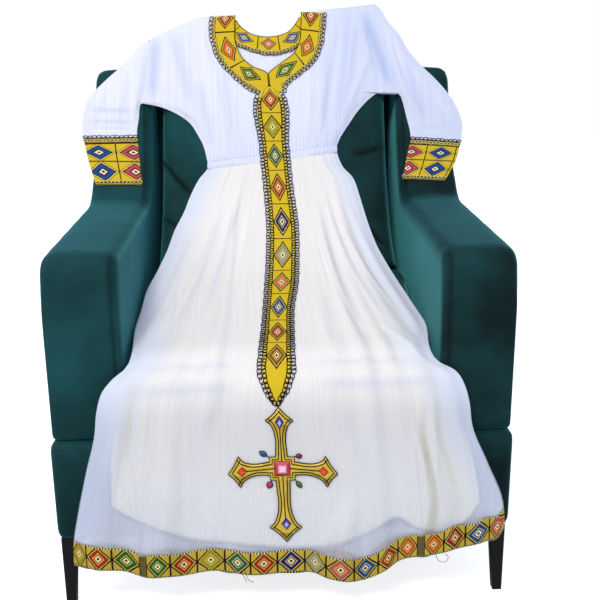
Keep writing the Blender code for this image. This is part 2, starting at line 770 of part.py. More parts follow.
def bodice_rows(half_columns, back):
    """Rows across the bodice; the back closes the V and keeps only the shallow back neck."""
    rows = []
    for i, row in enumerate(NECK_EDGES + SIDE_SEAMS):
        if i <= ARMHOLE_ROWS:
            left = between(*ARMHOLE_LEFT, i / ARMHOLE_ROWS)
            right = between(*ARMHOLE_RIGHT, i / ARMHOLE_ROWS)
            neck_left, neck_right = row[0:2], row[2:4]
        else:
            left, neck_left, neck_right, right = row[0:2], row[2:4], row[2:4], row[4:6]
        if back:
            spread = max(0.0, 1 - i / 2.0)
            neck_left, neck_right = (
                (between(BACK_NECK_X, x, spread), between(max(BACK_NECK_S, s), shoulder_s, spread))
                for (x, s), shoulder_s in ((neck_left, 0.010), (neck_right, 0.003)))
            if i >= 2:
                neck_right = neck_left
        line = [between(left, neck_left, j / half_columns) for j in range(half_columns + 1)]
        line += [between(neck_right, right, j / half_columns) for j in range(half_columns + 1)]
        rows.append(line)
    bottom = []
    for end_a, end_b in ((WAIST_LEFT_X, 0.0), (0.0, WAIST_RIGHT_X)):
        for j in range(half_columns + 1):
            x = between(end_a, end_b, j / half_columns)
            bottom.append((x, waist(x) - CASING_HEIGHT - SEAM_GAP))
    rows.append(bottom)
    return rows


def bodice_front_top(x, s, j, i):
    """Lift of the bodice front: flat at the neck, gathered above the waist, low at its seams."""
    half = BODICE_HALF_COLUMNS
    from_edge = min(j, 2 * half + 1 - j)
    gathers = 2.2 * MM * (j % 2) * smoothstep(s, 0.235, 0.315)
    lift = PANEL_TOP + plain_zone(x, max(s, 0.18)) * gathers
    if i == 0:
        under_band = 1 - smoothstep(abs(x + 0.008), 0.14, 0.18)
        return EDGE_TOP + 1.7 * MM * under_band
    if i > ARMHOLE_ROWS:
        lift = EDGE_TOP + (lift - EDGE_TOP) * min(1.0, from_edge / 2)
    return lift


def make_bodice():
    """Front panel, slit to the V neck, and back panel."""
    sheet("bodice_front", bodice_rows(BODICE_HALF_COLUMNS, False), bodice_front_top, WALL, COTTON)
    sheet("bodice_back", bodice_rows(BODICE_BACK_COLUMNS // 2, True),
          lambda x, s, j, i: BACK_LOW + WALL, WALL, COTTON)


# outer edge x and s, inner edge x and s, from the armhole seam to the cuff seam
SLEEVE_LEFT = (
    (-0.2716, 0.0560, -0.2872, 0.1990),
    (-0.2900, 0.0700, -0.2900, 0.2015),
    (-0.3150, 0.1000, -0.2918, 0.2060),
    (-0.3380, 0.1220, -0.2928, 0.2120),
    (-0.3600, 0.1420, -0.2934, 0.2200),
    (-0.3840, 0.1660, -0.2940, 0.2300),
    (-0.4020, 0.1900, -0.2955, 0.2410),
    (-0.4120, 0.2200, -0.2975, 0.2520),
    (-0.4165, 0.2480, -0.2985, 0.2620),
    (-0.4140, 0.2735, -0.2980, 0.2735),
)
SLEEVE_RIGHT = (
    (0.2286, -0.0270, 0.2757, 0.1840),
    (0.2520, 0.0120, 0.2790, 0.1900),
    (0.2810, 0.0500, 0.2815, 0.1980),
    (0.3000, 0.0860, 0.2840, 0.2070),
    (0.3270, 0.1190, 0.2862, 0.2170),
    (0.3570, 0.1500, 0.2885, 0.2280),
    (0.3850, 0.1850, 0.2910, 0.2400),
    (0.4030, 0.2180, 0.2940, 0.2520),
    (0.4125, 0.2500, 0.2965, 0.2640),
    (0.4090, 0.2900, 0.2995, 0.2788),
)
CUFF_LEFT = (
    (-0.4137, 0.2739, -0.2978, 0.2739),
    (-0.4040, 0.3200, -0.2930, 0.3270),
    (-0.3850, 0.3820, -0.2870, 0.3830),
)
CUFF_RIGHT = (
    (0.4090, 0.2905, 0.2995, 0.2793),
    (0.3960, 0.3340, 0.2870, 0.3280),
    (0.3680, 0.3830, 0.2755, 0.3770),
)


def make_sleeves():
    """Two flattened sleeves and the stiff border cuff at the end of each."""
    front = [0.045, 0.15, 0.27, 0.38, 0.5, 0.62, 0.73, 0.85, 0.955]
    back = [0.08, 0.35, 0.65, 0.92]
    for name, table in (("sleeve_left", SLEEVE_LEFT), ("sleeve_right", SLEEVE_RIGHT)):
        sections = [((row[0], row[1]), (row[2], row[3])) for row in table]
        last = len(sections) - 1

        def top(share, x, s, i, last=last):
            near = min(share, 1 - share)
            flat = between(4.2 * MM, PANEL_TOP, smoothstep(near, 0.04, 0.16))
            ridges = math.cos(share * math.pi * 6) * 0.5 + 0.5
            swell = math.sin(math.pi * i / last) * smoothstep(near, 0.04, 0.3)
            return flat + (1.2 + 1.8 * ridges) * MM * swell

        flat_tube(name, sections, front, back, top, lambda share, x, s, i: BACK_LOW, WALL, COTTON)
    for name, table in (("cuff_left", CUFF_LEFT), ("cuff_right", CUFF_RIGHT)):
        sections = [((row[0], row[1]), (row[2], row[3])) for row in table]

        def cuff_top(share, x, s, i):
            near = min(share, 1 - share)
            return between(4.2 * MM, PANEL_TOP, smoothstep(near, 0.04, 0.16))

        flat_tube(name, sections, front, back, cuff_top, lambda share, x, s, i: BACK_LOW, WALL, TIBEB)


# inner edge x and s, outer edge x and s, from the shoulder seam to the front
NECK_BAND_LEFT = (
    (-0.082, 0.003, -0.133, 0.007),
    (-0.083, 0.034, -0.136, 0.036),
    (-0.082, 0.066, -0.130, 0.074),
    (-0.071, 0.095, -0.117, 0.106),
    (-0.058, 0.110, -0.090, 0.138),
    (-0.044, 0.121, -0.063, 0.163),
    (-0.0125, 0.1375, -0.042, 0.1765),
    (-0.0092, 0.1786, -0.0300, 0.1786),
)
NECK_BAND_RIGHT = (
    (0.064, -0.004, 0.116, -0.001),
    (0.0625, 0.030, 0.112, 0.036),
    (0.060, 0.060, 0.105, 0.074),
    (0.052, 0.080, 0.089, 0.108),
    (0.042, 0.094, 0.063, 0.132),
    (0.010, 0.118, 0.037, 0.152),
    (-0.0115, 0.1375, 0.024, 0.1665),
    (-0.0088, 0.1786, 0.0235, 0.1786),
)
NECK_BAND_BACK = (
    (-0.080, 0.012, -0.124, 0.020),
    (-0.073, 0.024, -0.108, 0.046),
    (-0.060, 0.036, -0.084, 0.066),
    (-0.042, 0.046, -0.050, 0.081),
    (-0.010, 0.051, -0.009, 0.091),
    (0.021, 0.046, 0.030, 0.085),
    (0.039, 0.036, 0.064, 0.068),
    (0.052, 0.020, 0.088, 0.046),
    (0.060, 0.006, 0.106, 0.014),
)


def make_neck_bands():
    """The border that edges the neck: two front pieces mitred at the V and one inside the back."""
    for name, table, top in (("neck_band_left", NECK_BAND_LEFT, TRIM_TOP),
                             ("neck_band_right", NECK_BAND_RIGHT, TRIM_TOP),
                             ("neck_band_back", NECK_BAND_BACK, BACK_LOW + 2 * WALL + SEAM_GAP)):
        rows = []
        for row in table:
            rows.append([between(row[0:2], row[2:4], share) for share in (0.0, 0.5, 1.0)])
        sheet(name, rows, lambda x, s, j, i, level=top: level, WALL, TIBEB)


def make_placket():
    """The long border down the front, from the V neck to its point above the cross."""
    on_bodice = (PLACKET[0][0], 0.21, 0.24, 0.27, 0.30, 0.335)
    stations = on_bodice + tuple(s for s in SKIRT_STATIONS if s < 0.99) + (PLACKET[-1][0],)
    rows = []
    for s in stations:
        centre = column(PLACKET, s, 1)
        half = column(PLACKET, s, 2)
        rows.append([(centre + half * share, s) for share in (-1.0, 0.0, 1.0)])
    sheet("placket_band", rows, lambda x, s, j, i: TRIM_TOP, WALL, TIBEB)


# along an arm as a share of its length, and half its width there as a share of its drawn width
CROSS_ARM = (
    (0.17, 0.150),
    (0.24, 0.098),
    (0.45, 0.088),
    (0.62, 0.112),
    (0.74, 0.170),
    (0.795, 0.245),
    (0.88, 0.120),
)
# direction across and down, arm length, and the width it is drawn at
CROSS_ARMS = (
    (0, -1, 0.109, 0.100),
    (1, 0, 0.096, 0.100),
    (0, 1, 0.139, 0.112),
    (-1, 0, 0.093, 0.100),
)
CROSS_LEAN = 0.045
CROSS_TURN = 0.0135


def make_cross():
    """The embroidered cross with four flared, pointed arms, one raised piece on the skirt."""
    centre_x, centre_s = CROSS_CENTRE
    outline = []
    quads = []
    middle = []
    stations = len(CROSS_ARM)
    for across, down, length, wide in CROSS_ARMS:
        side = (-down, across)
        first = len(outline)
        for share, half in CROSS_ARM:
            outline.append((across * share * length - side[0] * half * wide,
                            down * share * length - side[1] * half * wide))
        outline.append((across * length, down * length))
        for share, half in reversed(CROSS_ARM):
            outline.append((across * share * length + side[0] * half * wide,
                            down * share * length + side[1] * half * wide))
        end = len(outline) - 1
        for k in range(stations - 1):
            quads.append((first + k, first + k + 1, end - k - 1, end - k))
        quads.append((first + stations - 1, first + stations, first + stations + 1))
        middle += [first, end]
    quads.append(tuple(middle))
    upper = []
    lower = []
    for x, s in outline:
        turned = (centre_x + x + CROSS_LEAN * s, centre_s + s - CROSS_TURN * x)
        upper.append(lay(*turned, TRIM_TOP))
        lower.append(lay(*turned, TRIM_LOW))
    count = len(outline)
    ring = list(range(count))
    faces = quads + [tuple(i + count for i in reversed(quad)) for quad in quads]
    for a, b in zip(ring, ring[1:] + ring[:1]):
        faces.append((b, a, a + count, b + count))
    add_solid("cross", upper + lower, faces, TIBEB)


def make_chair():
    """Everything that carries the dress, from the legs up."""
    make_legs()
    box("plinth", (-PLINTH_OUTER_X, ARM_FRONT_Y - PLINTH_PROUD, PLINTH_FOOT_Z),
        (PLINTH_OUTER_X, ARM_FRONT_Y + BACK_Y - 0.002, DECK_Z), 0.006, VELVET)
    make_sides()
    make_back()
    make_seat_cushion()
    make_back_cushion()


def make_dress():
    """The garment, back layer first."""
    make_bodice()
    make_waist_casing()
    make_skirt()
    make_slip()
    make_sleeves()
    make_neck_bands()
    make_placket()
    make_cross()


make_chair()
make_dress()
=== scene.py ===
"""The looks of a habesha kemis dress laid over a velvet wing armchair.

The dress lies on one line, the bed, that runs down the back cushion, over the
seat and straight down in front of the chair.  Each cloth piece is made flat
first, with x across, s down the bed and a lift off it, and then laid.
"""
import math

import bmesh
import bpy
import numpy as np
from mathutils import Matrix, Vector


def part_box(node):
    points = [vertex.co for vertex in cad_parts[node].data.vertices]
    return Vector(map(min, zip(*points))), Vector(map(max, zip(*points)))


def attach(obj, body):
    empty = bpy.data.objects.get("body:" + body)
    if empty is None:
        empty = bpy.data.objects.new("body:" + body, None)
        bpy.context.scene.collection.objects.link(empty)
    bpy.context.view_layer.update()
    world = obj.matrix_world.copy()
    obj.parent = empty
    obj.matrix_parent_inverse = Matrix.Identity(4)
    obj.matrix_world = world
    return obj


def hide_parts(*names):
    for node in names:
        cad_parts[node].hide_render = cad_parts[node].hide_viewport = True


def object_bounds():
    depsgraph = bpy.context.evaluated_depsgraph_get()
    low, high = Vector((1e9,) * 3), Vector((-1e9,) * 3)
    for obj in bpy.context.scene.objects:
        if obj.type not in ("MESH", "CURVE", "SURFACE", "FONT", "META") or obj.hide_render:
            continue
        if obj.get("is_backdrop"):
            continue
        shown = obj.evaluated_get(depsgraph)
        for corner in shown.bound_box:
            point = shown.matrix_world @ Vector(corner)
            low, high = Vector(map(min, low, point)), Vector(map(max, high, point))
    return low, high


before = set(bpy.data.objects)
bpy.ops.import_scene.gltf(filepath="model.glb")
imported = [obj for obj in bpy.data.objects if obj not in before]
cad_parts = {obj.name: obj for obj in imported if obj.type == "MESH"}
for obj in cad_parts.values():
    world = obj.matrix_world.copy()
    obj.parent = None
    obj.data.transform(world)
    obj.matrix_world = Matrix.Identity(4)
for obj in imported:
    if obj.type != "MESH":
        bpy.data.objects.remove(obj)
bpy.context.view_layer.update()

# The studio: a white room, one soft lamp high above the camera and a weak one low on the left.  The camera stands where the photograph was taken, a little above the seat.
MM = 0.001
FRAME_PX = 600
FOCAL_PX = 820.6
CAMERA_PLACE = (-0.0274, -1.6452, 0.9074)
CAMERA_YAW = math.radians(2.479)
CAMERA_DOWN = math.radians(14.599)
CAMERA_ROLL = math.radians(-0.529)
SENSOR = 36.0

ahead = Vector((math.sin(CAMERA_YAW) * math.cos(CAMERA_DOWN),
                math.cos(CAMERA_YAW) * math.cos(CAMERA_DOWN),
                -math.sin(CAMERA_DOWN)))
level = Vector((math.cos(CAMERA_YAW), -math.sin(CAMERA_YAW), 0.0))
above = level.cross(ahead)
right = math.cos(CAMERA_ROLL) * level + math.sin(CAMERA_ROLL) * above
up = math.cos(CAMERA_ROLL) * above - math.sin(CAMERA_ROLL) * level

camera_data = bpy.data.cameras.new("camera")
camera_data.sensor_width = SENSOR
camera_data.lens = SENSOR * FOCAL_PX / FRAME_PX
camera = bpy.data.objects.new("camera", camera_data)
camera.matrix_world = Matrix.Translation(CAMERA_PLACE) @ Matrix((right, up, -ahead)).transposed().to_4x4()
bpy.context.collection.objects.link(camera)
bpy.context.scene.camera = camera
bpy.context.scene.view_settings.view_transform = "Standard"


def tint(hex_colour):
    """The linear colour, with alpha, of an sRGB hex value."""
    parts = [int(hex_colour[k:k + 2], 16) / 255 for k in (1, 3, 5)]
    linear = [c / 12.92 if c <= 0.04045 else ((c + 0.055) / 1.055) ** 2.4 for c in parts]
    return (*linear, 1.0)


def add_node(tree, kind, settings=None, **links):
    """A node with its settings; an input, named or numbered as in0, gets a value or another node's socket."""
    node = tree.nodes.new(kind)
    for name, value in (settings or {}).items():
        setattr(node, name, value)
    for name, value in links.items():
        key = int(name[2:]) if name[2:].isdigit() else name.replace("_", " ")
        socket = node.inputs[key]
        if isinstance(value, bpy.types.NodeSocket):
            tree.links.new(value, socket)
        else:
            socket.default_value = value
    return node


ROOM_LIGHT = 0.62
room = bpy.data.worlds.new("white_room")
room.use_nodes = True
seen = add_node(room.node_tree, "ShaderNodeBackground", Color=tint("#ffffff"), Strength=1.0)
lit = add_node(room.node_tree, "ShaderNodeBackground", Color=tint("#dfe7ff"), Strength=ROOM_LIGHT)
ray = add_node(room.node_tree, "ShaderNodeLightPath")
both = add_node(room.node_tree, "ShaderNodeMixShader", in0=ray.outputs["Is Camera Ray"],
                in1=lit.outputs[0], in2=seen.outputs[0])
room.node_tree.links.new(both.outputs[0], room.node_tree.nodes["World Output"].inputs["Surface"])
bpy.context.scene.world = room

# name, place, what it looks at, size, power, colour
LAMPS = (
    ("key_lamp", (-0.75, -2.5, 3.0), (0.0, 0.0, 0.5), 1.0, 77.0, "#fff6ea"),
    ("fill_lamp", (-2.2, -1.0, 1.7), (0.0, 0.1, 0.7), 0.8, 5.0, "#fff6ea"),
    ("hem_lamp", (1.2, -1.9, 0.3), (0.15, -0.35, 0.35), 0.8, 3.0, "#f0fff8"),
)
for name, place, target, size, power, colour in LAMPS:
    lamp_data = bpy.data.lights.new(name, "AREA")
    lamp_data.size = size
    lamp_data.energy = power
    lamp_data.color = tint(colour)[:3]
    lamp = bpy.data.objects.new(name, lamp_data)
    lamp.location = place
    lamp.rotation_euler = (Vector(target) - Vector(place)).to_track_quat("-Z", "Y").to_euler()
    bpy.context.collection.objects.link(lamp)

FLOOR_SIZE = 12.0
bm = bmesh.new()
bmesh.ops.create_grid(bm, x_segments=1, y_segments=1, size=FLOOR_SIZE)
floor_mesh = bpy.data.meshes.new("floor")
bm.to_mesh(floor_mesh)
bm.free()
floor = bpy.data.objects.new("floor", floor_mesh)
bpy.context.collection.objects.link(floor)
paint = bpy.data.materials.new("matt_white_floor_paint")
paint.use_nodes = True
shader = paint.node_tree.nodes["Principled BSDF"]
shader.inputs["Base Color"].default_value = tint("#fbfbfb")
shader.inputs["Roughness"].default_value = 0.9
shader.inputs["Emission Color"].default_value = tint("#ffffff")
shader.inputs["Emission Strength"].default_value = 0.75
# the floor looks white, but throws back less light than white would, so that the hem isn't lit from below
dull = add_node(paint.node_tree, "ShaderNodeBsdfDiffuse", Color=(0.55, 0.55, 0.58, 1.0))
ray = add_node(paint.node_tree, "ShaderNodeLightPath")
both = add_node(paint.node_tree, "ShaderNodeMixShader", in0=ray.outputs["Is Camera Ray"],
                in1=dull.outputs[0], in2=shader.outputs[0])
paint.node_tree.links.new(both.outputs[0], paint.node_tree.nodes["Material Output"].inputs["Surface"])
floor_mesh.materials.append(paint)
floor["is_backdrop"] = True


# Legs: four square tapered legs of turned and sawn beech, each with a curved bracket at its
# top, sprayed with black satin lacquer that shows a soft highlight along every edge.
def surface(name, hex_colour, roughness):
    """A new Principled material; returns it with its node tree and shader."""
    made = bpy.data.materials.new(name)
    made.use_nodes = True
    shader = made.node_tree.nodes["Principled BSDF"]
    shader.inputs["Base Color"].default_value = tint(hex_colour)
    shader.inputs["Roughness"].default_value = roughness
    return made, made.node_tree, shader


def finish_piece(name, mesh, material, replaced=()):
    """Links a mesh as a shown piece of the one rigid body and smooths it."""
    mesh.materials.clear()
    mesh.materials.append(material)
    mesh.shade_smooth()
    piece = bpy.data.objects.new(name, mesh)
    bpy.context.collection.objects.link(piece)
    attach(piece, "root")
    if replaced:
        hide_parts(*replaced)
    return piece


def merged_copy(node):
    """A bmesh of a node's mesh with its doubles merged and its flat faces whole."""
    bm = bmesh.new()
    bm.from_mesh(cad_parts[node].data)
    bmesh.ops.remove_doubles(bm, verts=bm.verts, dist=0.02 * MM)
    bmesh.ops.dissolve_limit(bm, angle_limit=math.radians(1.0), verts=bm.verts, edges=bm.edges)
    return bm


LEG_EDGE = 1.6 * MM

lacquer, tree, shader = surface("black_satin_lacquer", "#0e0e10", 0.45)
shader.inputs["Specular IOR Level"].default_value = 0.2
shader.inputs["Coat Weight"].default_value = 0.08
shader.inputs["Coat Roughness"].default_value = 0.25
place = add_node(tree, "ShaderNodeTexCoord").outputs["Object"]
stretch = add_node(tree, "ShaderNodeMapping", Vector=place, Scale=(260.0, 260.0, 22.0)).outputs[0]
grain = add_node(tree, "ShaderNodeTexNoise", Vector=stretch, Scale=1.0, Detail=3.0).outputs["Fac"]
mix = add_node(tree, "ShaderNodeMix", {"data_type": "RGBA"}, in0=grain, in6=tint("#0b0b0c"), in7=tint("#141415"))
tree.links.new(mix.outputs[2], shader.inputs["Base Color"])
bump = add_node(tree, "ShaderNodeBump", Height=grain, Strength=0.12, Distance=0.2 * MM)
tree.links.new(bump.outputs[0], shader.inputs["Normal"])

for leg in ("leg_front_left", "leg_front_right", "leg_rear_left", "leg_rear_right"):
    bm = merged_copy(leg)
    sharp = [e for e in bm.edges if e.is_manifold and e.calc_face_angle() > math.radians(40)]
    bmesh.ops.bevel(bm, geom=sharp, offset=LEG_EDGE, segments=3, profile=0.5, affect="EDGES", material=-1)
    mesh = bpy.data.meshes.new(leg)
    bm.to_mesh(mesh)
    bm.free()
    finish_piece("black_" + leg, mesh, lacquer, [leg])


# Velvet upholstery: cotton velvet with a short pile, glued over foam and board on the base,
# the arms with their wings and the back.  The pile turns dark face on and light at a grazing
# look, and brushed patches of it lie another way.  Painted light and shade: its left side is
# painted lighter, its base darker, and its seams, creases and slots are painted dark.
def cover_of(node, voxel, passes):
    """A node's shape as an even fine mesh, its edges rounded off by smoothing."""
    bm = merged_copy(node)
    rough = bpy.data.meshes.new(node)
    bm.to_mesh(rough)
    bm.free()
    form = bpy.data.objects.new(node, rough)
    bpy.context.collection.objects.link(form)
    remesh = form.modifiers.new("remesh", "REMESH")
    remesh.mode = "VOXEL"
    remesh.voxel_size = voxel
    even = bpy.data.meshes.new_from_object(form.evaluated_get(bpy.context.evaluated_depsgraph_get()))
    bpy.data.objects.remove(form)
    bm = bmesh.new()
    bm.from_mesh(even)
    for _ in range(passes):
        bmesh.ops.smooth_vert(bm, verts=bm.verts, factor=0.5, use_axis_x=True, use_axis_y=True, use_axis_z=True)
    bm.to_mesh(even)
    bm.free()
    return even


def points_of(mesh):
    """The mesh's points and their normals as arrays."""
    place = np.empty(len(mesh.vertices) * 3, np.float32)
    facing = np.empty(len(mesh.vertices) * 3, np.float32)
    mesh.vertices.foreach_get("co", place)
    mesh.vertices.foreach_get("normal", facing)
    return place.reshape(-1, 3).astype(float), facing.reshape(-1, 3).astype(float)


def put_points(mesh, place):
    """Writes the points back."""
    mesh.vertices.foreach_set("co", np.asarray(place, np.float32).ravel())
    mesh.update()


def mark_painted_shade(mesh, amount):
    """Stores how much painted shade each point gets, from 0 to 1, as the attribute "crease"."""
    marks = mesh.attributes.new("crease", "FLOAT", "POINT")
    marks.data.foreach_set("value", np.clip(amount, 0, 1).astype(np.float32))


def rise(value, low, high):
    """Goes smoothly from 0 at low to 1 at high."""
    t = np.clip((value - low) / (high - low), 0.0, 1.0)
    return t * t * (3 - 2 * t)


def dent(distance, half):
    """1 on a line, falling smoothly to 0 about a few halves away."""
    return np.exp(-(distance / half) ** 2)


velvet, tree, shader = surface("dark_green_cotton_velvet", "#123b3a", 0.85)
shader.inputs["Sheen Weight"].default_value = 0.85
shader.inputs["Sheen Roughness"].default_value = 0.38
shader.inputs["Sheen Tint"].default_value = tint("#58b6bd")
shader.inputs["Specular IOR Level"].default_value = 0.15
place = add_node(tree, "ShaderNodeTexCoord").outputs["Object"]
brushed = add_node(tree, "ShaderNodeTexNoise", Vector=place, Scale=7.0, Detail=3.0, Roughness=0.55).outputs["Fac"]
# painted light: the chair's left side is painted lighter than its right, where the light falls more on it
sideways = add_node(tree, "ShaderNodeSeparateXYZ", Vector=place).outputs[0]
painted_light_left = add_node(tree, "ShaderNodeMapRange", Value=sideways, in1=-0.30, in2=0.30, in3=0.12, in4=-0.20).outputs[0]
# painted shade: the base, low down, is painted darker, for the shade that it lies in
height = add_node(tree, "ShaderNodeSeparateXYZ", Vector=place).outputs[2]
painted_shade_low = add_node(tree, "ShaderNodeMapRange", Value=height, in1=0.20, in2=0.30, in3=-0.34, in4=0.0).outputs[0]
painted_side_and_base_light = add_node(tree, "ShaderNodeMath", {"operation": "ADD"}, in0=painted_light_left, in1=painted_shade_low).outputs[0]
nap_and_painted_light = add_node(tree, "ShaderNodeMath", {"operation": "ADD"}, in0=brushed, in1=painted_side_and_base_light).outputs[0]
patches = add_node(tree, "ShaderNodeValToRGB", in0=nap_and_painted_light)
patches.color_ramp.elements[0].position = 0.19
patches.color_ramp.elements[0].color = tint("#091f20")
patches.color_ramp.elements[1].position = 0.86
patches.color_ramp.elements[1].color = tint("#1b5659")
pile = add_node(tree, "ShaderNodeTexNoise", Vector=place, Scale=900.0, Detail=2.0).outputs["Fac"]
mottle = add_node(tree, "ShaderNodeMix", {"data_type": "RGBA", "blend_type": "MULTIPLY"}, in0=0.35,
                  in6=patches.outputs[0], in7=tint("#ffffff"))
tree.links.new(pile, mottle.inputs[7])
# painted shade: the attribute "crease" is 1 in seams, creases and the slots beside the back cushion, where no light
# reaches the pile, and is painted nearly black there
painted_shade_depth = add_node(tree, "ShaderNodeAttribute", {"attribute_name": "crease"}).outputs["Fac"]
shaded = add_node(tree, "ShaderNodeMix", {"data_type": "RGBA"}, in0=painted_shade_depth, in6=mottle.outputs[2],
                  in7=tint("#020808"))
tree.links.new(shaded.outputs[2], shader.inputs["Base Color"])
bump = add_node(tree, "ShaderNodeBump", Height=pile, Strength=0.35, Distance=0.6 * MM)
soft = add_node(tree, "ShaderNodeBump", Height=brushed, Strength=0.25, Distance=6 * MM,
                Normal=bump.outputs[0])
tree.links.new(soft.outputs[0], shader.inputs["Normal"])

ARM_FRONT_Y = -0.3255
ARM_INNER_X = 0.270
ARM_OUTER_X = 0.400
SEAM_DEPTH = 2.2 * MM
SEAM_HALF = 4.0 * MM
ARM_CROWN = 3.0 * MM

for side, node in ((-1, "side_left"), (1, "side_right")):
    mesh = cover_of(node, 6.5 * MM, 3)
    place, facing = points_of(mesh)
    across = np.abs(place[:, 0])
    seam = dent(across - (ARM_INNER_X + 0.012), SEAM_HALF) * rise(-facing[:, 1], 0.2, 0.7)
    top_seam = dent(across - (ARM_INNER_X + 0.012), SEAM_HALF) * rise(facing[:, 2], 0.2, 0.7)
    middle = (across - ARM_INNER_X) / (ARM_OUTER_X - ARM_INNER_X)
    crown = ARM_CROWN * np.sin(np.pi * np.clip(middle, 0, 1)) * rise(-facing[:, 1] + facing[:, 2], 0.3, 0.8)
    place += facing * (crown - SEAM_DEPTH * np.maximum(seam, top_seam))[:, None]
    put_points(mesh, place)
    # painted shade in the seams' grooves along the arms' inner edges
    mark_painted_shade(mesh, 0.6 * np.maximum(seam, top_seam))
    cover = finish_piece("velvet_" + node, mesh, velvet, [node])

mesh = cover_of("back", 9.0 * MM, 2)
place, facing = points_of(mesh)
low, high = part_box("back")
edge = np.minimum(high.x - np.abs(place[:, 0]), place[:, 2] - low.z)
place += facing * (6 * MM * rise(edge, 0.0, 0.09) * rise(facing[:, 1], 0.3, 0.9))[:, None]
put_points(mesh, place)
finish_piece("velvet_back", mesh, velvet, ["back"])

mesh = cover_of("plinth", 9.0 * MM, 2)
finish_piece("velvet_plinth", mesh, velvet, ["plinth"])


# Cushions: two loose feather-and-foam cushions in the same velvet.  The back one is pulled in by
# long diagonal creases; the seat one is crowned and carries the skirt.
# start x and z, end x and z, depth, half width
BACK_CREASES = (
    (-0.262, 0.765, -0.172, 0.676, 8.0 * MM, 4.5 * MM),
    (0.160, 0.654, 0.234, 0.574, 8.0 * MM, 4.5 * MM),
    (0.165, 0.760, 0.242, 0.776, 6.0 * MM, 6.0 * MM),
    (-0.250, 0.640, -0.200, 0.620, 5.0 * MM, 5.0 * MM),
)


def line_dent(across, down, start_a, start_d, end_a, end_d, half):
    """1 along a straight crease between two points, fading off its sides and both ends."""
    run_a, run_d = end_a - start_a, end_d - start_d
    size = math.hypot(run_a, run_d)
    along = ((across - start_a) * run_a + (down - start_d) * run_d) / size ** 2
    off = np.abs((across - start_a) * run_d - (down - start_d) * run_a) / size
    taper = rise(along, -0.05, 0.25) * (1 - rise(along, 0.7, 1.05))
    return dent(off, half) * taper


for node, voxel in (("back_cushion", 6.0 * MM), ("seat_cushion", 8.0 * MM)):
    mesh = cover_of(node, voxel, 4)
    if node == "back_cushion":
        place, facing = points_of(mesh)
        sink = np.zeros(len(place))
        for x_a, z_a, x_b, z_b, depth, half in BACK_CREASES:
            sink += depth * line_dent(place[:, 0], place[:, 2], x_a, z_a, x_b, z_b, half)
        place -= facing * (sink * rise(-facing[:, 1], 0.1, 0.5))[:, None]
        put_points(mesh, place)
        # painted shade, deeper in the creases and in the slots beside the cushion's sides
        mark_painted_shade(mesh, sink / (7 * MM) + rise(np.abs(place[:, 0]), 0.262, 0.272))
    finish_piece("velvet_" + node, mesh, velvet, [node])


# The bed that the dress lies on, as depth behind the arms' front and height.  Cloth is made as
# flat pieces on it: points are x across, minus s down the bed, and the lift off it.
BED = ((0.660, 1.210), (0.600, 1.060), (0.537, 0.890), (0.483, 0.740), (0.412, 0.630),
       (0.315, 0.553), (0.205, 0.506), (0.100, 0.476), (0.012, 0.455), (-0.025, 0.430),
       (-0.0375, 0.392), (-0.0385, 0.375), (-0.0388, 0.360), (-0.0450, 0.050), (-0.0480, -0.100))
SHOULDER_ROW = 1
BED_STEPS = 60
WALL = 0.9 * MM
BACK_LIFT = 0.9 * MM
SLIP_LIFT = 3.1 * MM
PANEL_LIFT = 6.2 * MM
EDGE_LIFT = 3.3 * MM
TRIM_LIFT = 7.9 * MM


def smooth_line(points, steps):
    """A smooth curve through the points, its slope at each weighted by the nearer neighbour."""
    pts = np.array(points, float)
    spans = np.linalg.norm(np.diff(pts, axis=0), axis=1)
    slopes = np.diff(pts, axis=0) / spans[:, None]
    weights = (spans[1:] / (spans[:-1] + spans[1:]))[:, None]
    tangents = np.vstack([slopes[:1], slopes[:-1] * weights + slopes[1:] * (1 - weights), slopes[-1:]])
    t = (np.arange(steps) / steps)[:, None]
    ease = 3 * t ** 2 - 2 * t ** 3
    line = []
    for k, span in enumerate(spans):
        bend = (t ** 3 - 2 * t ** 2 + t) * tangents[k] + (t ** 3 - t ** 2) * tangents[k + 1]
        line.append((1 - ease) * pts[k] + ease * pts[k + 1] + span * bend)
    return np.vstack(line + [pts[-1:]])


BED_LINE = smooth_line(BED, BED_STEPS)
BED_S = np.concatenate([[0.0], np.cumsum(np.hypot(*np.diff(BED_LINE, axis=0).T))])
BED_S -= BED_S[SHOULDER_ROW * BED_STEPS]
BED_TANGENT = np.gradient(BED_LINE, BED_S, axis=0)


def lay(x, s, lift):
    """The places of points at x and s, lifted off the bed along its normal, as rows."""
    y, z = (np.interp(s, BED_S, BED_LINE[:, k]) for k in (0, 1))
    along_y, along_z = (np.interp(s, BED_S, BED_TANGENT[:, k]) for k in (0, 1))
    size = np.hypot(along_y, along_z)
    return np.column_stack([x + 0 * y, ARM_FRONT_Y + y + lift * along_z / size, z - lift * along_y / size])


def column(table, s, index):
    """One column of a table sorted by its first value, read at s."""
    return np.interp(s, table[:, 0], table[:, index])


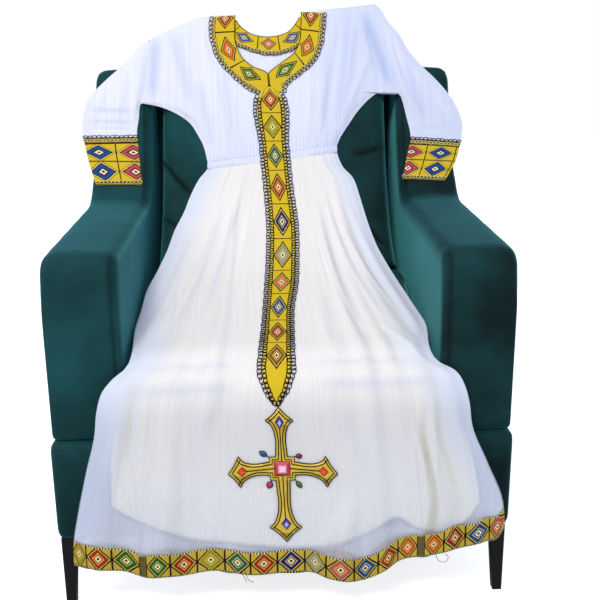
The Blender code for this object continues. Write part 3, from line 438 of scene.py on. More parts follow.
def laid_grid(name, across, down, shape, first=0.0, last=1.0, shade_of=None):
    """A grid mesh laid on the bed, its UV the flat pattern in metres.

    shape(u, v) takes shares across and down from the top left and returns x,
    s, lift and the two flat coordinates.  Only the shares across from first
    to last are made.  shade_of(x, s) says how deep in the shade of a fold each
    point lies.
    """
    bm = bmesh.new()
    bm.loops.layers.uv.new("flat")
    bmesh.ops.create_grid(bm, x_segments=across, y_segments=down, size=0.5, calc_uvs=True)
    mesh = bpy.data.meshes.new(name)
    bm.to_mesh(mesh)
    bm.free()
    grid, _ = points_of(mesh)
    x, s, lift, flat_u, flat_v = shape(first + (last - first) * (grid[:, 0] + 0.5), 0.5 - grid[:, 1])
    put_points(mesh, lay(x, s, lift))
    corner = np.empty(len(mesh.loops), np.int32)
    mesh.loops.foreach_get("vertex_index", corner)
    flat = np.column_stack([flat_u, flat_v])[corner]
    mesh.uv_layers["flat"].data.foreach_set("uv", flat.astype(np.float32).ravel())
    if shade_of:
        mark_painted_shade(mesh, shade_of(x, s))
    return mesh


def cloth(name, across, down, shape, material, replaced, wall=WALL, round_seam=False,
          shade_of=None):
    """A piece of cloth: a laid grid with a wall, whose sides are joined where it is a tube."""
    mesh = laid_grid(name, across, down, shape, shade_of=shade_of)
    if round_seam:
        bm = bmesh.new()
        bm.from_mesh(mesh)
        bmesh.ops.remove_doubles(bm, verts=bm.verts, dist=0.05 * MM)
        bm.to_mesh(mesh)
        bm.free()
    piece = finish_piece(name, mesh, material, replaced)
    solid = piece.modifiers.new("wall", "SOLIDIFY")
    solid.thickness = wall
    solid.offset = -1.0
    return piece


# The cotton: hand-woven gauze, nearly white, with slubs in its yarn that show as faint streaks
# down and across the cloth.  The body's gauze is doubled and covers; the skirt's is single and
# shows what lies under it.
GATHERED_COVER = 0.84
COVER_FALLS = (0.90, 1.16)
# painted shade colours: a bluish white for the gauze's sides and hem, a blue for its folds
PAINTED_EDGE_SHADE = "#e6efff"
PAINTED_SHADE_BLUE = "#b2c4ea"
# painted shade along the folds that hang double, as beige and cream lines
# place across the flat cloth at s 1.175, how far it moves across for each metre down, where it
# starts and ends down it, how strong it shows, colour
DOUBLED_FOLD_SHADES = ((0.254, -0.163, 1.00, 1.40, 0.55, "#a39d76"), (0.300, -0.05, 0.95, 1.25, 0.28, "#d6d2a6"),
                 (-0.313, 0.0, 0.95, 1.14, 0.35, "#dedab2"))


def sum_of(tree, operation, first, second, third=0.0):
    """One math node's value."""
    return add_node(tree, "ShaderNodeMath", {"operation": operation}, in0=first, in1=second, in2=third).outputs[0]


def blend_of(tree, amount, first, second):
    """A colour mixed from two."""
    return add_node(tree, "ShaderNodeMix", {"data_type": "RGBA"}, in0=amount, in6=first, in7=second).outputs[2]


def gauze(name, hex_light, hex_shade, cover):
    """White gauze by the flat pattern's UV.

    cover is the share that each of its two sides hides at the hem, 1 for cloth
    that isn't seen through; it is higher up to the seat, where the cloth is
    gathered.
    """
    made, tree, shader = surface(name, hex_light, 0.92)
    shader.inputs["Sheen Weight"].default_value = 0.12
    shader.inputs["Sheen Roughness"].default_value = 0.6
    shader.inputs["Specular IOR Level"].default_value = 0.12
    flat = add_node(tree, "ShaderNodeUVMap", {"uv_map": "flat"}).outputs[0]
    # real threads lie 0.5 mm apart; the streaks are drawn 3 mm apart so that they show
    warp_space = add_node(tree, "ShaderNodeMapping", Vector=flat, Scale=(240.0, 3.5, 1.0)).outputs[0]
    weft_space = add_node(tree, "ShaderNodeMapping", Vector=flat, Scale=(9.0, 420.0, 1.0)).outputs[0]
    warp = add_node(tree, "ShaderNodeTexNoise", Vector=warp_space, Scale=1.0, Detail=2.0).outputs["Fac"]
    weft = add_node(tree, "ShaderNodeTexNoise", Vector=weft_space, Scale=1.0, Detail=2.0).outputs["Fac"]
    slubs = add_node(tree, "ShaderNodeMath", {"operation": "MULTIPLY_ADD"}, in0=weft, in1=0.2, in2=warp).outputs[0]
    tone = add_node(tree, "ShaderNodeMapRange", Value=slubs, in1=0.4, in2=0.8).outputs[0]
    colour = add_node(tree, "ShaderNodeMix", {"data_type": "RGBA"}, in0=tone,
                      in6=tint(hex_shade), in7=tint(hex_light)).outputs[2]
    # painted shade: the attribute "crease" is 1 deep in a fold and on the side away from the lamp, where the white is
    # painted blue as its shade
    painted_shade_depth = add_node(tree, "ShaderNodeAttribute", {"attribute_name": "crease"}).outputs["Fac"]
    colour = blend_of(tree, painted_shade_depth, colour, tint(PAINTED_SHADE_BLUE))
    tree.links.new(colour, shader.inputs["Base Color"])
    bump = add_node(tree, "ShaderNodeBump", Height=slubs, Strength=0.10, Distance=0.5 * MM)
    tree.links.new(bump.outputs[0], shader.inputs["Normal"])
    if cover < 1:
        place = add_node(tree, "ShaderNodeSeparateXYZ", Vector=flat)
        aside, down = place.outputs[0], place.outputs[1]
        # painted shade: its white is painted bluer along its sides and towards the hem, where the thin cloth lies in
        # shade
        from_side = sum_of(tree, "ABSOLUTE", aside, 0.0)
        sides = add_node(tree, "ShaderNodeMapRange", Value=from_side, in1=0.26, in2=0.36).outputs[0]
        low = add_node(tree, "ShaderNodeMapRange", Value=down, in1=0.95, in2=1.25, in3=0.0, in4=0.7).outputs[0]
        edge_and_hem_shade = sum_of(tree, "MAXIMUM", sides, low)
        colour = blend_of(tree, edge_and_hem_shade, colour, tint(PAINTED_EDGE_SHADE))
        # painted shade: folds that hang double are painted as beige and cream lines, the doubled cloth's colour with
        # the shade in the fold
        for fold_at, fold_slope, first, last, share, hex_fold in DOUBLED_FOLD_SHADES:
            line = sum_of(tree, "MULTIPLY_ADD", sum_of(tree, "SUBTRACT", down, 1.175), fold_slope, fold_at)
            off = sum_of(tree, "ABSOLUTE", sum_of(tree, "SUBTRACT", aside, line), 0.0)
            near = add_node(tree, "ShaderNodeMapRange", {"interpolation_type": "SMOOTHSTEP"}, Value=off,
                            in1=0.002, in2=0.011, in3=share, in4=0.0).outputs[0]
            starts = add_node(tree, "ShaderNodeMapRange", Value=down, in1=first, in2=first + 0.10).outputs[0]
            ends = add_node(tree, "ShaderNodeMapRange", Value=down, in1=last - 0.08, in2=last, in3=1.0, in4=0.0).outputs[0]
            reach = sum_of(tree, "MULTIPLY", starts, ends)
            colour = blend_of(tree, sum_of(tree, "MULTIPLY", near, reach), colour, tint(hex_fold))
        tree.links.new(colour, shader.inputs["Base Color"])
        gathered = add_node(tree, "ShaderNodeMapRange", {"interpolation_type": "SMOOTHSTEP"}, Value=down,
                            in1=COVER_FALLS[0], in2=COVER_FALLS[1], in3=GATHERED_COVER, in4=cover).outputs[0]
        spread = add_node(tree, "ShaderNodeMapRange", Value=slubs, in1=0.4, in2=0.8, in3=-0.012, in4=0.012)
        alpha = add_node(tree, "ShaderNodeMath", {"operation": "ADD"}, in0=gathered, in1=spread.outputs[0])
        tree.links.new(alpha.outputs[0], shader.inputs["Alpha"])
    return made


body_gauze = gauze("doubled_white_cotton_gauze", "#e9eefb", "#dde4f6", 1.0)
skirt_gauze = gauze("sheer_white_cotton_gauze", "#fdfcf8", "#f5f5f4", 0.27)
# the back panel hangs in closer folds than the front one, so it hides more; its white is painted darker and bluer, a
# painted shade for lying behind the front
back_gauze_painted_shade = gauze("white_cotton_gauze_painted_shade", "#cfdaf6", "#bccaec", 0.72)
lining = gauze("ivory_cotton_lining", "#f7f7f2", "#f3f2ea", 1.0)


def away_side(x):
    """Depth of the blue shade on the side of the dress away from the lamp."""
    return 0.34 * rise(x, 0.05, 0.17)


WAIST_LEFT_X = -0.147
WAIST_RIGHT_X = 0.135
CASING_HEIGHT = 0.014
SEAM_GAP = 0.4 * MM
HEM_BAND_HEIGHT = 0.043
# x across, and s of the waist seam
WAIST_LINE = np.array(((-0.160, 0.349), (0.150, 0.311)))
# s, left edge x, right edge x
SKIRT_EDGES = smooth_line((
    (0.300, -0.143, 0.131), (0.345, -0.147, 0.146), (0.371, -0.166, 0.167), (0.415, -0.186, 0.180),
    (0.448, -0.197, 0.187), (0.493, -0.215, 0.196), (0.544, -0.227, 0.207), (0.601, -0.242, 0.223),
    (0.668, -0.258, 0.240), (0.740, -0.262, 0.255), (0.800, -0.265, 0.265), (0.932, -0.266, 0.266),
    (0.952, -0.284, 0.292), (0.974, -0.301, 0.304), (1.003, -0.310, 0.312), (1.043, -0.316, 0.318),
    (1.112, -0.335, 0.347), (1.184, -0.353, 0.377), (1.236, -0.364, 0.383), (1.300, -0.368, 0.384)), 8)
# x across, and s of the hem's lower edge
HEM_LINE = smooth_line((
    (-0.366, 1.280), (-0.330, 1.293), (-0.280, 1.297), (-0.240, 1.311), (-0.195, 1.311), (-0.130, 1.301),
    (-0.060, 1.313), (0.010, 1.309), (0.045, 1.311), (0.075, 1.326), (0.105, 1.333), (0.137, 1.328),
    (0.170, 1.314), (0.200, 1.293), (0.250, 1.286), (0.290, 1.277), (0.340, 1.265), (0.370, 1.257),
    (0.384, 1.232)), 8)
# s, centre x and half width of the front placket, which ends in a point
PLACKET = np.array((
    (0.1790, -0.0090, 0.0330), (0.300, -0.0020, 0.0315), (0.396, 0.0050, 0.0310), (0.480, 0.0110, 0.0330),
    (0.580, 0.0090, 0.0330), (0.660, 0.0045, 0.0325), (0.745, -0.0030, 0.0285), (0.830, -0.0070, 0.0290),
    (0.912, -0.0105, 0.0305), (0.950, -0.0120, 0.0310), (0.975, -0.0125, 0.0200), (0.999, -0.0130, 0.0015)))
CROSS_CENTRE = (-0.005, 1.1115)
# x at the top, x at the hem, height at the seat and at the hem in mm, half width at the hem
SKIRT_FOLDS = (
    (-0.128, -0.318, 2.5, 10.0, 0.034),
    (-0.108, -0.212, 4.0, 17.0, 0.038),
    (-0.082, -0.130, 5.0, 4.0, 0.030),
    (-0.060, -0.062, 3.0, 13.0, 0.044),
    (0.050, 0.098, 4.0, 22.0, 0.046),
    (0.072, 0.168, 6.0, 13.0, 0.032),
    (0.092, 0.222, 3.0, 2.0, 0.024),
    (0.108, 0.282, 5.0, 15.0, 0.038),
    (0.124, 0.345, 2.5, 9.0, 0.028),
)
FOLD_START = 0.36
FOLD_FULL = 1.28
FORWARD_SHORTENS = 0.65


def waist(x):
    """s of the waist seam at x."""
    return column(WAIST_LINE, x, 1)


def plain_zone(x, s):
    """0 where embroidery keeps the front flat, 1 well clear of it."""
    centre = column(PLACKET, s, 1)
    cross_reach = 1 - rise(np.abs(s - CROSS_CENTRE[1]), 0.040, 0.170)
    reach = 0.046 + 0.062 * cross_reach
    return rise((np.abs(x - centre) - reach) / 0.050, 0.0, 1.0)


def skirt_fold(x, s):
    """Height of the large folds, which start small at the waist and grow to the hem."""
    run = np.clip((s - FOLD_START) / (FOLD_FULL - FOLD_START), 0, 1)
    total = np.zeros_like(x)
    for top_x, hem_x, seat, hem, half in SKIRT_FOLDS:
        middle = top_x + (hem_x - top_x) * run ** 0.8
        width = half * (0.30 + 0.70 * run)
        height = seat * rise(run, 0.0, 0.25) + (hem - seat) * rise(run, 0.66, 1.0)
        away = np.clip(np.abs(x - middle) / width, 0, 1)
        total += height * MM * np.cos(away * math.pi / 2) ** 2
    return total


# Fine pleats run down from the waist seam.  A row is: how many across the skirt, height, how far
# down they fade, and the wander of their lines
PLEATS = (
    (46.0, 1.2 * MM, 0.035, 0.9),
    (25.0, 1.3 * MM, 0.12, 0.7),
    (13.0, 1.3 * MM, 0.35, 0.5),
    (7.0, 2.8 * MM, 1.3, 0.35),
)
# start x and s, end x and s, height (a trough where it is negative), half width
SKIRT_CREASES = (
    (-0.110, 0.40, -0.215, 0.82, 2.6 * MM, 6.0 * MM),
    (-0.075, 0.39, -0.150, 0.74, 2.8 * MM, 5.5 * MM),
    (-0.095, 0.50, -0.170, 0.90, -2.2 * MM, 7.0 * MM),
    (-0.048, 0.42, -0.090, 0.70, 2.2 * MM, 5.0 * MM),
    (-0.185, 0.62, -0.235, 0.90, 2.4 * MM, 6.0 * MM),
    (-0.130, 0.78, -0.120, 0.93, 1.8 * MM, 8.0 * MM),
    (0.060, 0.38, 0.100, 0.72, 2.6 * MM, 5.5 * MM),
    (0.095, 0.38, 0.190, 0.80, 3.0 * MM, 6.0 * MM),
    (0.080, 0.52, 0.150, 0.88, -2.4 * MM, 7.0 * MM),
    (0.120, 0.44, 0.225, 0.78, 2.2 * MM, 5.0 * MM),
    (0.065, 0.68, 0.085, 0.92, 1.8 * MM, 8.0 * MM),
    (0.180, 0.80, 0.235, 0.93, 2.0 * MM, 6.0 * MM),
    (-0.262, 1.02, -0.300, 1.24, -3.0 * MM, 6.0 * MM),
    (-0.215, 0.99, -0.240, 1.26, -3.4 * MM, 7.0 * MM),
    (-0.160, 1.02, -0.165, 1.24, 2.0 * MM, 6.0 * MM),
    (0.215, 1.06, 0.240, 1.29, 6.0 * MM, 5.0 * MM),
    (-0.262, 1.10, -0.250, 1.31, 5.0 * MM, 5.0 * MM),
    (0.250, 0.99, 0.262, 1.22, 2.6 * MM, 6.0 * MM),
    (0.298, 1.00, 0.335, 1.22, -2.6 * MM, 6.0 * MM),
    (-0.340, 0.959, 0.060, 0.955, 2.6 * MM, 4.0 * MM),
    (-0.060, 0.955, 0.340, 0.951, 2.6 * MM, 4.0 * MM),
)


def pleats(u, s, top):
    """Uneven pleats that follow the skirt's flare, strongest at the waist."""
    total = np.zeros_like(u)
    for k, (count, height, reach, wander) in enumerate(PLEATS):
        shift = wander * (np.sin(7.1 * u + 1.3 * k + 4.0 * s) + 0.6 * np.sin(17.3 * u + 2.1 * k - 2.6 * s))
        wave = 0.5 + 0.5 * np.cos(2 * math.pi * count * u + 2.2 * shift)
        strength = 0.65 + 0.35 * np.sin(11.0 * u + 3.0 * k + 1.5 * s)
        total += height * strength * wave ** 1.5 * np.exp(-np.clip(s - top, 0, None) / reach)
    return total * rise(s - top, 0.001, 0.010)


def creases(x, s, table):
    """The sum of a table's creases."""
    total = np.zeros_like(x)
    for x_a, s_a, x_b, s_b, height, half in table:
        total += height * line_dent(x, s, x_a, s_a, x_b, s_b, half)
    return total


# start x and s, end x and s, depth of the shade, half width
SKIRT_SHADES = (
    (-0.335, 0.975, 0.050, 0.971, 0.26, 8.0 * MM),
    (-0.050, 0.971, 0.335, 0.967, 0.26, 8.0 * MM),
    (-0.335, 0.937, 0.050, 0.933, 0.16, 7.0 * MM),
    (-0.050, 0.933, 0.335, 0.929, 0.16, 7.0 * MM),
    (-0.120, 0.45, -0.200, 0.84, 0.20, 7.0 * MM),
    (-0.085, 0.42, -0.150, 0.80, 0.20, 6.0 * MM),
    (0.085, 0.42, 0.150, 0.82, 0.20, 7.0 * MM),
    (0.115, 0.45, 0.205, 0.86, 0.20, 7.0 * MM),
    (-0.120, 1.00, -0.150, 1.16, 0.14, 12.0 * MM),
    (0.100, 1.00, 0.130, 1.18, 0.14, 12.0 * MM),
    (-0.300, 1.175, 0.020, 1.205, 0.24, 32.0 * MM),
)


def skirt_shade(x, s):
    """Shade on both sides of the seat's edge and in the long creases."""
    return plain_zone(x, s) * creases(x, s, SKIRT_SHADES)


def skirt_lift(x, s, share):
    """Lift of the skirt front's upper side."""
    near = np.minimum(share, 1 - share)
    detail = pleats(share, s, waist(x)) + creases(x, s, SKIRT_CREASES)
    body = PANEL_LIFT + plain_zone(x, s) * np.maximum(skirt_fold(x, s) + detail, 0.0)
    return EDGE_LIFT + (body - EDGE_LIFT) * rise(near, 0.0, 0.055)


def hem(x):
    """s of the hem's lower edge; a fold that comes forward is cut a little shorter."""
    forward = plain_zone(x, FOLD_FULL + 0 * x) * skirt_fold(x, FOLD_FULL + 0 * x)
    return column(HEM_LINE, x, 1) - FORWARD_SHORTENS * forward


def skirt_places(share, v, top_of, bottom_of):
    """x and s at shares across and down between two lines over the skirt's flare."""
    x = SKIRT_EDGES[-1, 1] + share * (SKIRT_EDGES[-1, 2] - SKIRT_EDGES[-1, 1])
    for _ in range(4):
        s = top_of(x) + v * (bottom_of(x) - top_of(x))
        left, right_x = column(SKIRT_EDGES, s, 1), column(SKIRT_EDGES, s, 2)
        x = left + share * (right_x - left)
    return x, s


# Back panels: the skirt's is made here and the bodice's with the bodice, both cut like the fronts
# and plain.  They lie flat on the chair, and below the seat the skirt's hangs in soft folds behind the slip.
BACK_FOLDS = ((-0.290, 9.0), (-0.170, 14.0), (-0.045, 10.0), (0.075, 15.0), (0.190, 11.0), (0.300, 9.0))
BACK_FOLD_HALF = 0.055
BACK_HEM_DROP = 0.005


def back_fold(x, s):
    """How far the back panel hangs in behind the bed, below the seat."""
    total = np.zeros_like(x)
    for middle, depth in BACK_FOLDS:
        away = np.clip(np.abs(x - middle) / BACK_FOLD_HALF, 0, 1)
        total += depth * MM * np.cos(away * math.pi / 2) ** 2
    return total * rise(s, 1.03, 1.25)


def skirt_back_shape(u, v):
    """The skirt's back panel, from the waist seam to its hem band."""
    x, s = skirt_places(u, v, lambda x: waist(x) + SEAM_GAP, lambda x: hem(x) - HEM_BAND_HEIGHT - SEAM_GAP)
    s = s + BACK_HEM_DROP * v
    lift = 1.7 * MM - back_fold(x, s) * rise(np.minimum(u, 1 - u), 0.0, 0.08)
    return x, s, lift, x, s


skirt_back = cloth("gauze_skirt_back", 110, 130, skirt_back_shape, back_gauze_painted_shade, ["skirt_back"])

# Slip: a straight underskirt of ivory cotton lining, sewn in at the waist.  It shows through the
# sheer skirt and ends a hand above the hem.
# s, left edge x, right edge x
SLIP_EDGES = smooth_line(((0.375, -0.120, 0.118), (0.600, -0.200, 0.190), (0.930, -0.238, 0.236),
                          (1.040, -0.283, 0.300), (1.180, -0.296, 0.336), (1.270, -0.298, 0.340)), 8)
# x across, and s of the slip's hem
SLIP_HEM = smooth_line(((-0.295, 1.178), (-0.234, 1.215), (-0.166, 1.240), (-0.080, 1.254), (0.040, 1.264),
                        (0.085, 1.262), (0.147, 1.239), (0.196, 1.212), (0.228, 1.234), (0.285, 1.238),
                        (0.318, 1.218), (0.336, 1.190)), 8)
SLIP_TOP = 0.375


def around_shape(u, top_lift, low_lift):
    """Share across and lift of a flattened tube at u round it; the front comes first."""
    turn = 2 * math.pi * u
    share = 0.5 - 0.5 * np.cos(turn)
    bulge = np.sign(np.sin(turn)) * np.abs(np.sin(turn)) ** 0.45
    middle = 0.5 * (top_lift + low_lift)
    return share, middle + 0.5 * (top_lift - low_lift) * bulge


def slip_shape(u, v):
    """The slip as one tube."""
    share, lift = around_shape(u, SLIP_LIFT + 1.5 * MM, SLIP_LIFT - 0.9 * MM)
    x = SLIP_EDGES[-1, 1] + share * (SLIP_EDGES[-1, 2] - SLIP_EDGES[-1, 1])
    for _ in range(4):
        s = SLIP_TOP + v * (column(SLIP_HEM, x, 1) - SLIP_TOP)
        left, right_x = column(SLIP_EDGES, s, 1), column(SLIP_EDGES, s, 2)
        x = left + share * (right_x - left)
    return x, s, lift, x, s


slip = cloth("lining_slip", 160, 110, slip_shape, lining, ["slip"], 0.6 * MM, True)

# Skirt front: one wide panel of the sheer gauze, gathered to the waist seam and flared.  Its fine
# pleats open into wide soft folds that make the hem wave.
SKIRT_FLAT = (0.76, 0.94)


def skirt_front_shape(u, v):
    """The skirt's front panel, from the waist seam to its hem band."""
    x, s = skirt_places(u, v, lambda x: waist(x) + SEAM_GAP, lambda x: hem(x) - HEM_BAND_HEIGHT - SEAM_GAP)
    return x, s, skirt_lift(x, s, u), (u - 0.5) * SKIRT_FLAT[0], s


skirt_front = cloth("gauze_skirt_front", 230, 190, skirt_front_shape, skirt_gauze, ["skirt_front"],
                    shade_of=skirt_shade)

# Waist casing: a narrow elastic casing, ruched, that joins bodice and skirt all round.
RUCHES = 62.0


def casing_shape(u, v):
    """The casing as a flattened tube with a ripple for each ruche."""
    ripple = 1.9 * MM * (0.5 + 0.5 * np.sin(2 * math.pi * RUCHES * u + 2.5 * np.sin(9 * u)))
    share, lift = around_shape(u, PANEL_LIFT, 0.5 * MM)
    x = WAIST_LEFT_X + share * (WAIST_RIGHT_X - WAIST_LEFT_X)
    s = waist(x) - CASING_HEIGHT * (1 - v) + 1.4 * MM * (2 * v - 1)
    bulge = 0.2 * MM + 1.2 * MM * np.sin(math.pi * v)
    front = u < 0.5
    lift = lift + np.where(front, plain_zone(x, s) * (ripple * np.sin(math.pi * v) + bulge), 0.0)
    return x, s, lift, 1.5 * x, s


def casing_shade(x, s):
    """Shade between the ruches."""
    return 0.12 + away_side(x) + 0.16 * np.sin(2 * math.pi * x / 0.0045 + 2.5 * np.sin(60 * x))


casing = cloth("ruched_waist_casing", 420, 8, casing_shape, body_gauze, ["waist_casing"], 0.8 * MM, True,
               casing_shade)

# Bodice: front panel with a V neck and back panel, both of doubled gauze, with dropped shoulders.
# It is gathered into the waist and drawn into long soft creases from the armholes.
ARMHOLE_LEFT = ((-0.2710, 0.057), (-0.2865, 0.199))
ARMHOLE_RIGHT = ((0.2280, -0.0225), (0.2750, 0.184))
# neck edge left x and s, neck edge right x and s, from the shoulder to the foot of the V
NECK_EDGES = ((-0.084, 0.004, 0.066, -0.004), (-0.085, 0.030, 0.0645, 0.026), (-0.084, 0.066, 0.062, 0.060),
              (-0.073, 0.096, 0.044, 0.095), (-0.046, 0.122, 0.012, 0.120), (-0.0135, 0.139, -0.0135, 0.139),
              (-0.011, 0.168, -0.011, 0.168))
# left side seam x and s, middle x and s, right side seam x and s, below the armholes
SIDE_SEAMS = ((-0.2480, 0.207, -0.009, 0.192, 0.2350, 0.179), (-0.2140, 0.222, -0.007, 0.216, 0.2140, 0.190),
              (-0.1840, 0.244, -0.005, 0.242, 0.1850, 0.219), (-0.1670, 0.271, -0.003, 0.270, 0.1640, 0.248),
              (-0.1540, 0.300, -0.001, 0.300, 0.1430, 0.280))
ARMHOLE_ROWS = len(NECK_EDGES) - 1
# how far the left shoulder line arches above a straight one
SHOULDER_ARCH = 0.018
# the back's shallow neck, in the same columns as the front's
BACK_NECK = ((-0.086, 0.012, 0.068, 0.006), (-0.064, 0.046, 0.047, 0.044), (-0.010, 0.062, -0.010, 0.062))
# start x and s, end x and s, height (a trough where it is negative), half width
BODICE_CREASES = (
    (-0.240, 0.030, -0.150, 0.290, 3.4 * MM, 9.0 * MM),
    (-0.205, 0.050, -0.135, 0.250, -3.0 * MM, 8.0 * MM),
    (-0.160, 0.020, -0.118, 0.240, 3.0 * MM, 9.0 * MM),
    (-0.130, 0.110, -0.100, 0.320, 2.6 * MM, 6.0 * MM),
    (-0.095, 0.170, -0.075, 0.320, 2.4 * MM, 6.0 * MM),
    (-0.250, 0.140, -0.175, 0.245, 3.6 * MM, 8.0 * MM),
    (0.205, 0.000, 0.235, 0.165, -4.0 * MM, 8.0 * MM),
    (0.185, -0.010, 0.150, 0.230, 3.6 * MM, 9.0 * MM),
    (0.150, 0.020, 0.115, 0.250, -2.8 * MM, 8.0 * MM),
    (0.120, 0.100, 0.095, 0.290, 3.0 * MM, 7.0 * MM),
    (0.215, 0.090, 0.150, 0.240, 3.4 * MM, 8.0 * MM),
    (0.080, 0.160, 0.070, 0.300, 2.4 * MM, 6.0 * MM),
)


# start x and s, end x and s, depth of the shade, half width
BODICE_SHADES = (
    (-0.256, 0.045, -0.266, 0.200, 0.60, 13.0 * MM),
    (-0.222, 0.030, -0.185, 0.215, 0.28, 12.0 * MM),
    (-0.165, 0.140, -0.135, 0.300, 0.32, 9.0 * MM),
    (-0.110, 0.110, -0.088, 0.300, 0.26, 7.0 * MM),
    (0.200, -0.010, 0.262, 0.185, 0.60, 12.0 * MM),
    (0.170, -0.010, 0.140, 0.250, 0.28, 10.0 * MM),
    (0.120, 0.060, 0.100, 0.280, 0.26, 8.0 * MM),
    (-0.300, 0.218, -0.405, 0.212, 0.42, 5.0 * MM),
    (-0.302, 0.241, -0.410, 0.237, 0.36, 4.0 * MM),
    (0.255, 0.020, 0.300, 0.190, -0.25, 8.0 * MM),
    (0.285, 0.100, 0.335, 0.255, 0.28, 9.0 * MM),
    (0.310, 0.120, 0.390, 0.250, -0.20, 9.0 * MM),
)


def bodice_shade(x, s):
    """Shade in the long creases, on the side away from the lamp, and between the gathers at the waist."""
    above_seam = waist(x) - CASING_HEIGHT - s
    between = 0.5 - 0.5 * np.cos(2 * math.pi * x / 0.0078 + 3 * np.sin(31 * x + 9 * s))
    gathers = 0.45 * between * np.exp(-np.abs(above_seam) / 0.045) * (np.abs(x) < 0.2)
    return away_side(x) + creases(x, s, BODICE_SHADES) + gathers


def lines_down(back):
    """The outer and inner edges of the bodice's two halves, as dense lines from shoulder to waist."""
    rows = []
    for i, row in enumerate(NECK_EDGES + SIDE_SEAMS):
        if i <= ARMHOLE_ROWS:
            share = i / ARMHOLE_ROWS
            left = np.array(ARMHOLE_LEFT[0]) + share * np.subtract(ARMHOLE_LEFT[1], ARMHOLE_LEFT[0])
            right_edge = np.array(ARMHOLE_RIGHT[0]) + share * np.subtract(ARMHOLE_RIGHT[1], ARMHOLE_RIGHT[0])
            neck_left, neck_right = row[0:2], row[2:4]
        else:
            left, neck_left, neck_right, right_edge = row[0:2], row[2:4], row[2:4], row[4:6]
        if back:
            neck_left = (-0.010, max(BACK_NECK[2][3], neck_left[1]))
            neck_right = neck_left
            if i < len(BACK_NECK):
                neck_left, neck_right = BACK_NECK[i][0:2], BACK_NECK[i][2:4]
        rows.append((*left, *neck_left, *neck_right, *right_edge))
    seam = CASING_HEIGHT + SEAM_GAP
    rows.append((WAIST_LEFT_X, waist(WAIST_LEFT_X) - seam, 0.0, waist(0.0) - seam,
                 0.0, waist(0.0) - seam, WAIST_RIGHT_X, waist(WAIST_RIGHT_X) - seam))
    rows = np.array(rows, float)
    upper = smooth_line(rows[:ARMHOLE_ROWS + 1], 10)
    lower = smooth_line(rows[ARMHOLE_ROWS:], 10)
    return np.vstack([upper, lower[1:]])


def bodice_shape(back):
    """The shape function of the bodice's front or back, as one panel that may be slit at its middle."""
    lines = lines_down(back)
    steps = np.linspace(0, 1, len(lines))

    def shape(u, v):
        edge = [np.interp(v, steps, lines[:, k]) for k in range(8)]
        on_left = u <= 0.5
        t = np.where(on_left, 2 * u, 2 * u - 1)
        x = np.where(on_left, edge[0] + t * (edge[2] - edge[0]), edge[4] + t * (edge[6] - edge[4]))
        s = np.where(on_left, edge[1] + t * (edge[3] - edge[1]), edge[5] + t * (edge[7] - edge[5]))
        arch = SHOULDER_ARCH * np.sin(math.pi * np.clip(t, 0, 1) ** 1.25) * (1 - rise(v, 0.0, 0.15))
        s = s - np.where(on_left, arch, 0.0)
        if back:
            return x, s, 1.7 * MM + 0 * x, x, s
        seam_s = waist(x) - CASING_HEIGHT
        near_waist = np.exp(-np.clip(seam_s - s, 0, None) / 0.05)
        gathers = 1.7 * MM * near_waist * (0.5 + 0.5 * np.cos(2 * math.pi * x / 0.0078 + 3 * np.sin(31 * x + 9 * s)))
        soft = 1.1 * MM * np.exp(-np.clip(seam_s - s, 0, None) / 0.13)
        soft = soft * (0.5 + 0.5 * np.cos(2 * math.pi * x / 0.021 + 2 * np.sin(17 * x + 7 * s)))
        detail = (gathers + soft) * rise(seam_s - s, 0.001, 0.010) + creases(x, s, BODICE_CREASES)
        detail = detail * plain_zone(x, np.maximum(s, 0.18))
        lift = PANEL_LIFT + detail * rise(s, 0.0, 0.05)
        side = np.minimum(u, 1 - u)
        below = rise(v, 0.46, 0.56)
        low = EDGE_LIFT + (lift - EDGE_LIFT) * rise(side, 0.0, 0.06)
        lift = lift * (1 - below) + low * below
        under_band = 1 - rise(np.abs(x + 0.008), 0.14, 0.18)
        top = EDGE_LIFT + 1.7 * MM * under_band
        start = 1 - rise(v, 0.0, 0.035)
        lift = lift * (1 - start) + top * start
        return x, s, lift, x, s

    return shape


def slit_cloth(name, half_columns, down, shape, replaced):
    """A panel in two halves that share the points where their middle edges meet."""
    halves = bmesh.new()
    for first in (0.0, 0.5):
        half = laid_grid(name, half_columns, down, shape, first + 1e-6, first + 0.5 - 1e-6, bodice_shade)
        halves.from_mesh(half)
        bpy.data.meshes.remove(half)
    bmesh.ops.remove_doubles(halves, verts=halves.verts, dist=0.05 * MM)
    mesh = bpy.data.meshes.new(name)
    halves.to_mesh(mesh)
    halves.free()
    piece = finish_piece(name, mesh, body_gauze, replaced)
    solid = piece.modifiers.new("wall", "SOLIDIFY")
    solid.thickness = WALL
    solid.offset = -1.0
    return piece


bodice_back = slit_cloth("gauze_bodice_back", 40, 60, bodice_shape(True), ["bodice_back"])
bodice_front = slit_cloth("gauze_bodice_front", 100, 110, bodice_shape(False), ["bodice_front"])

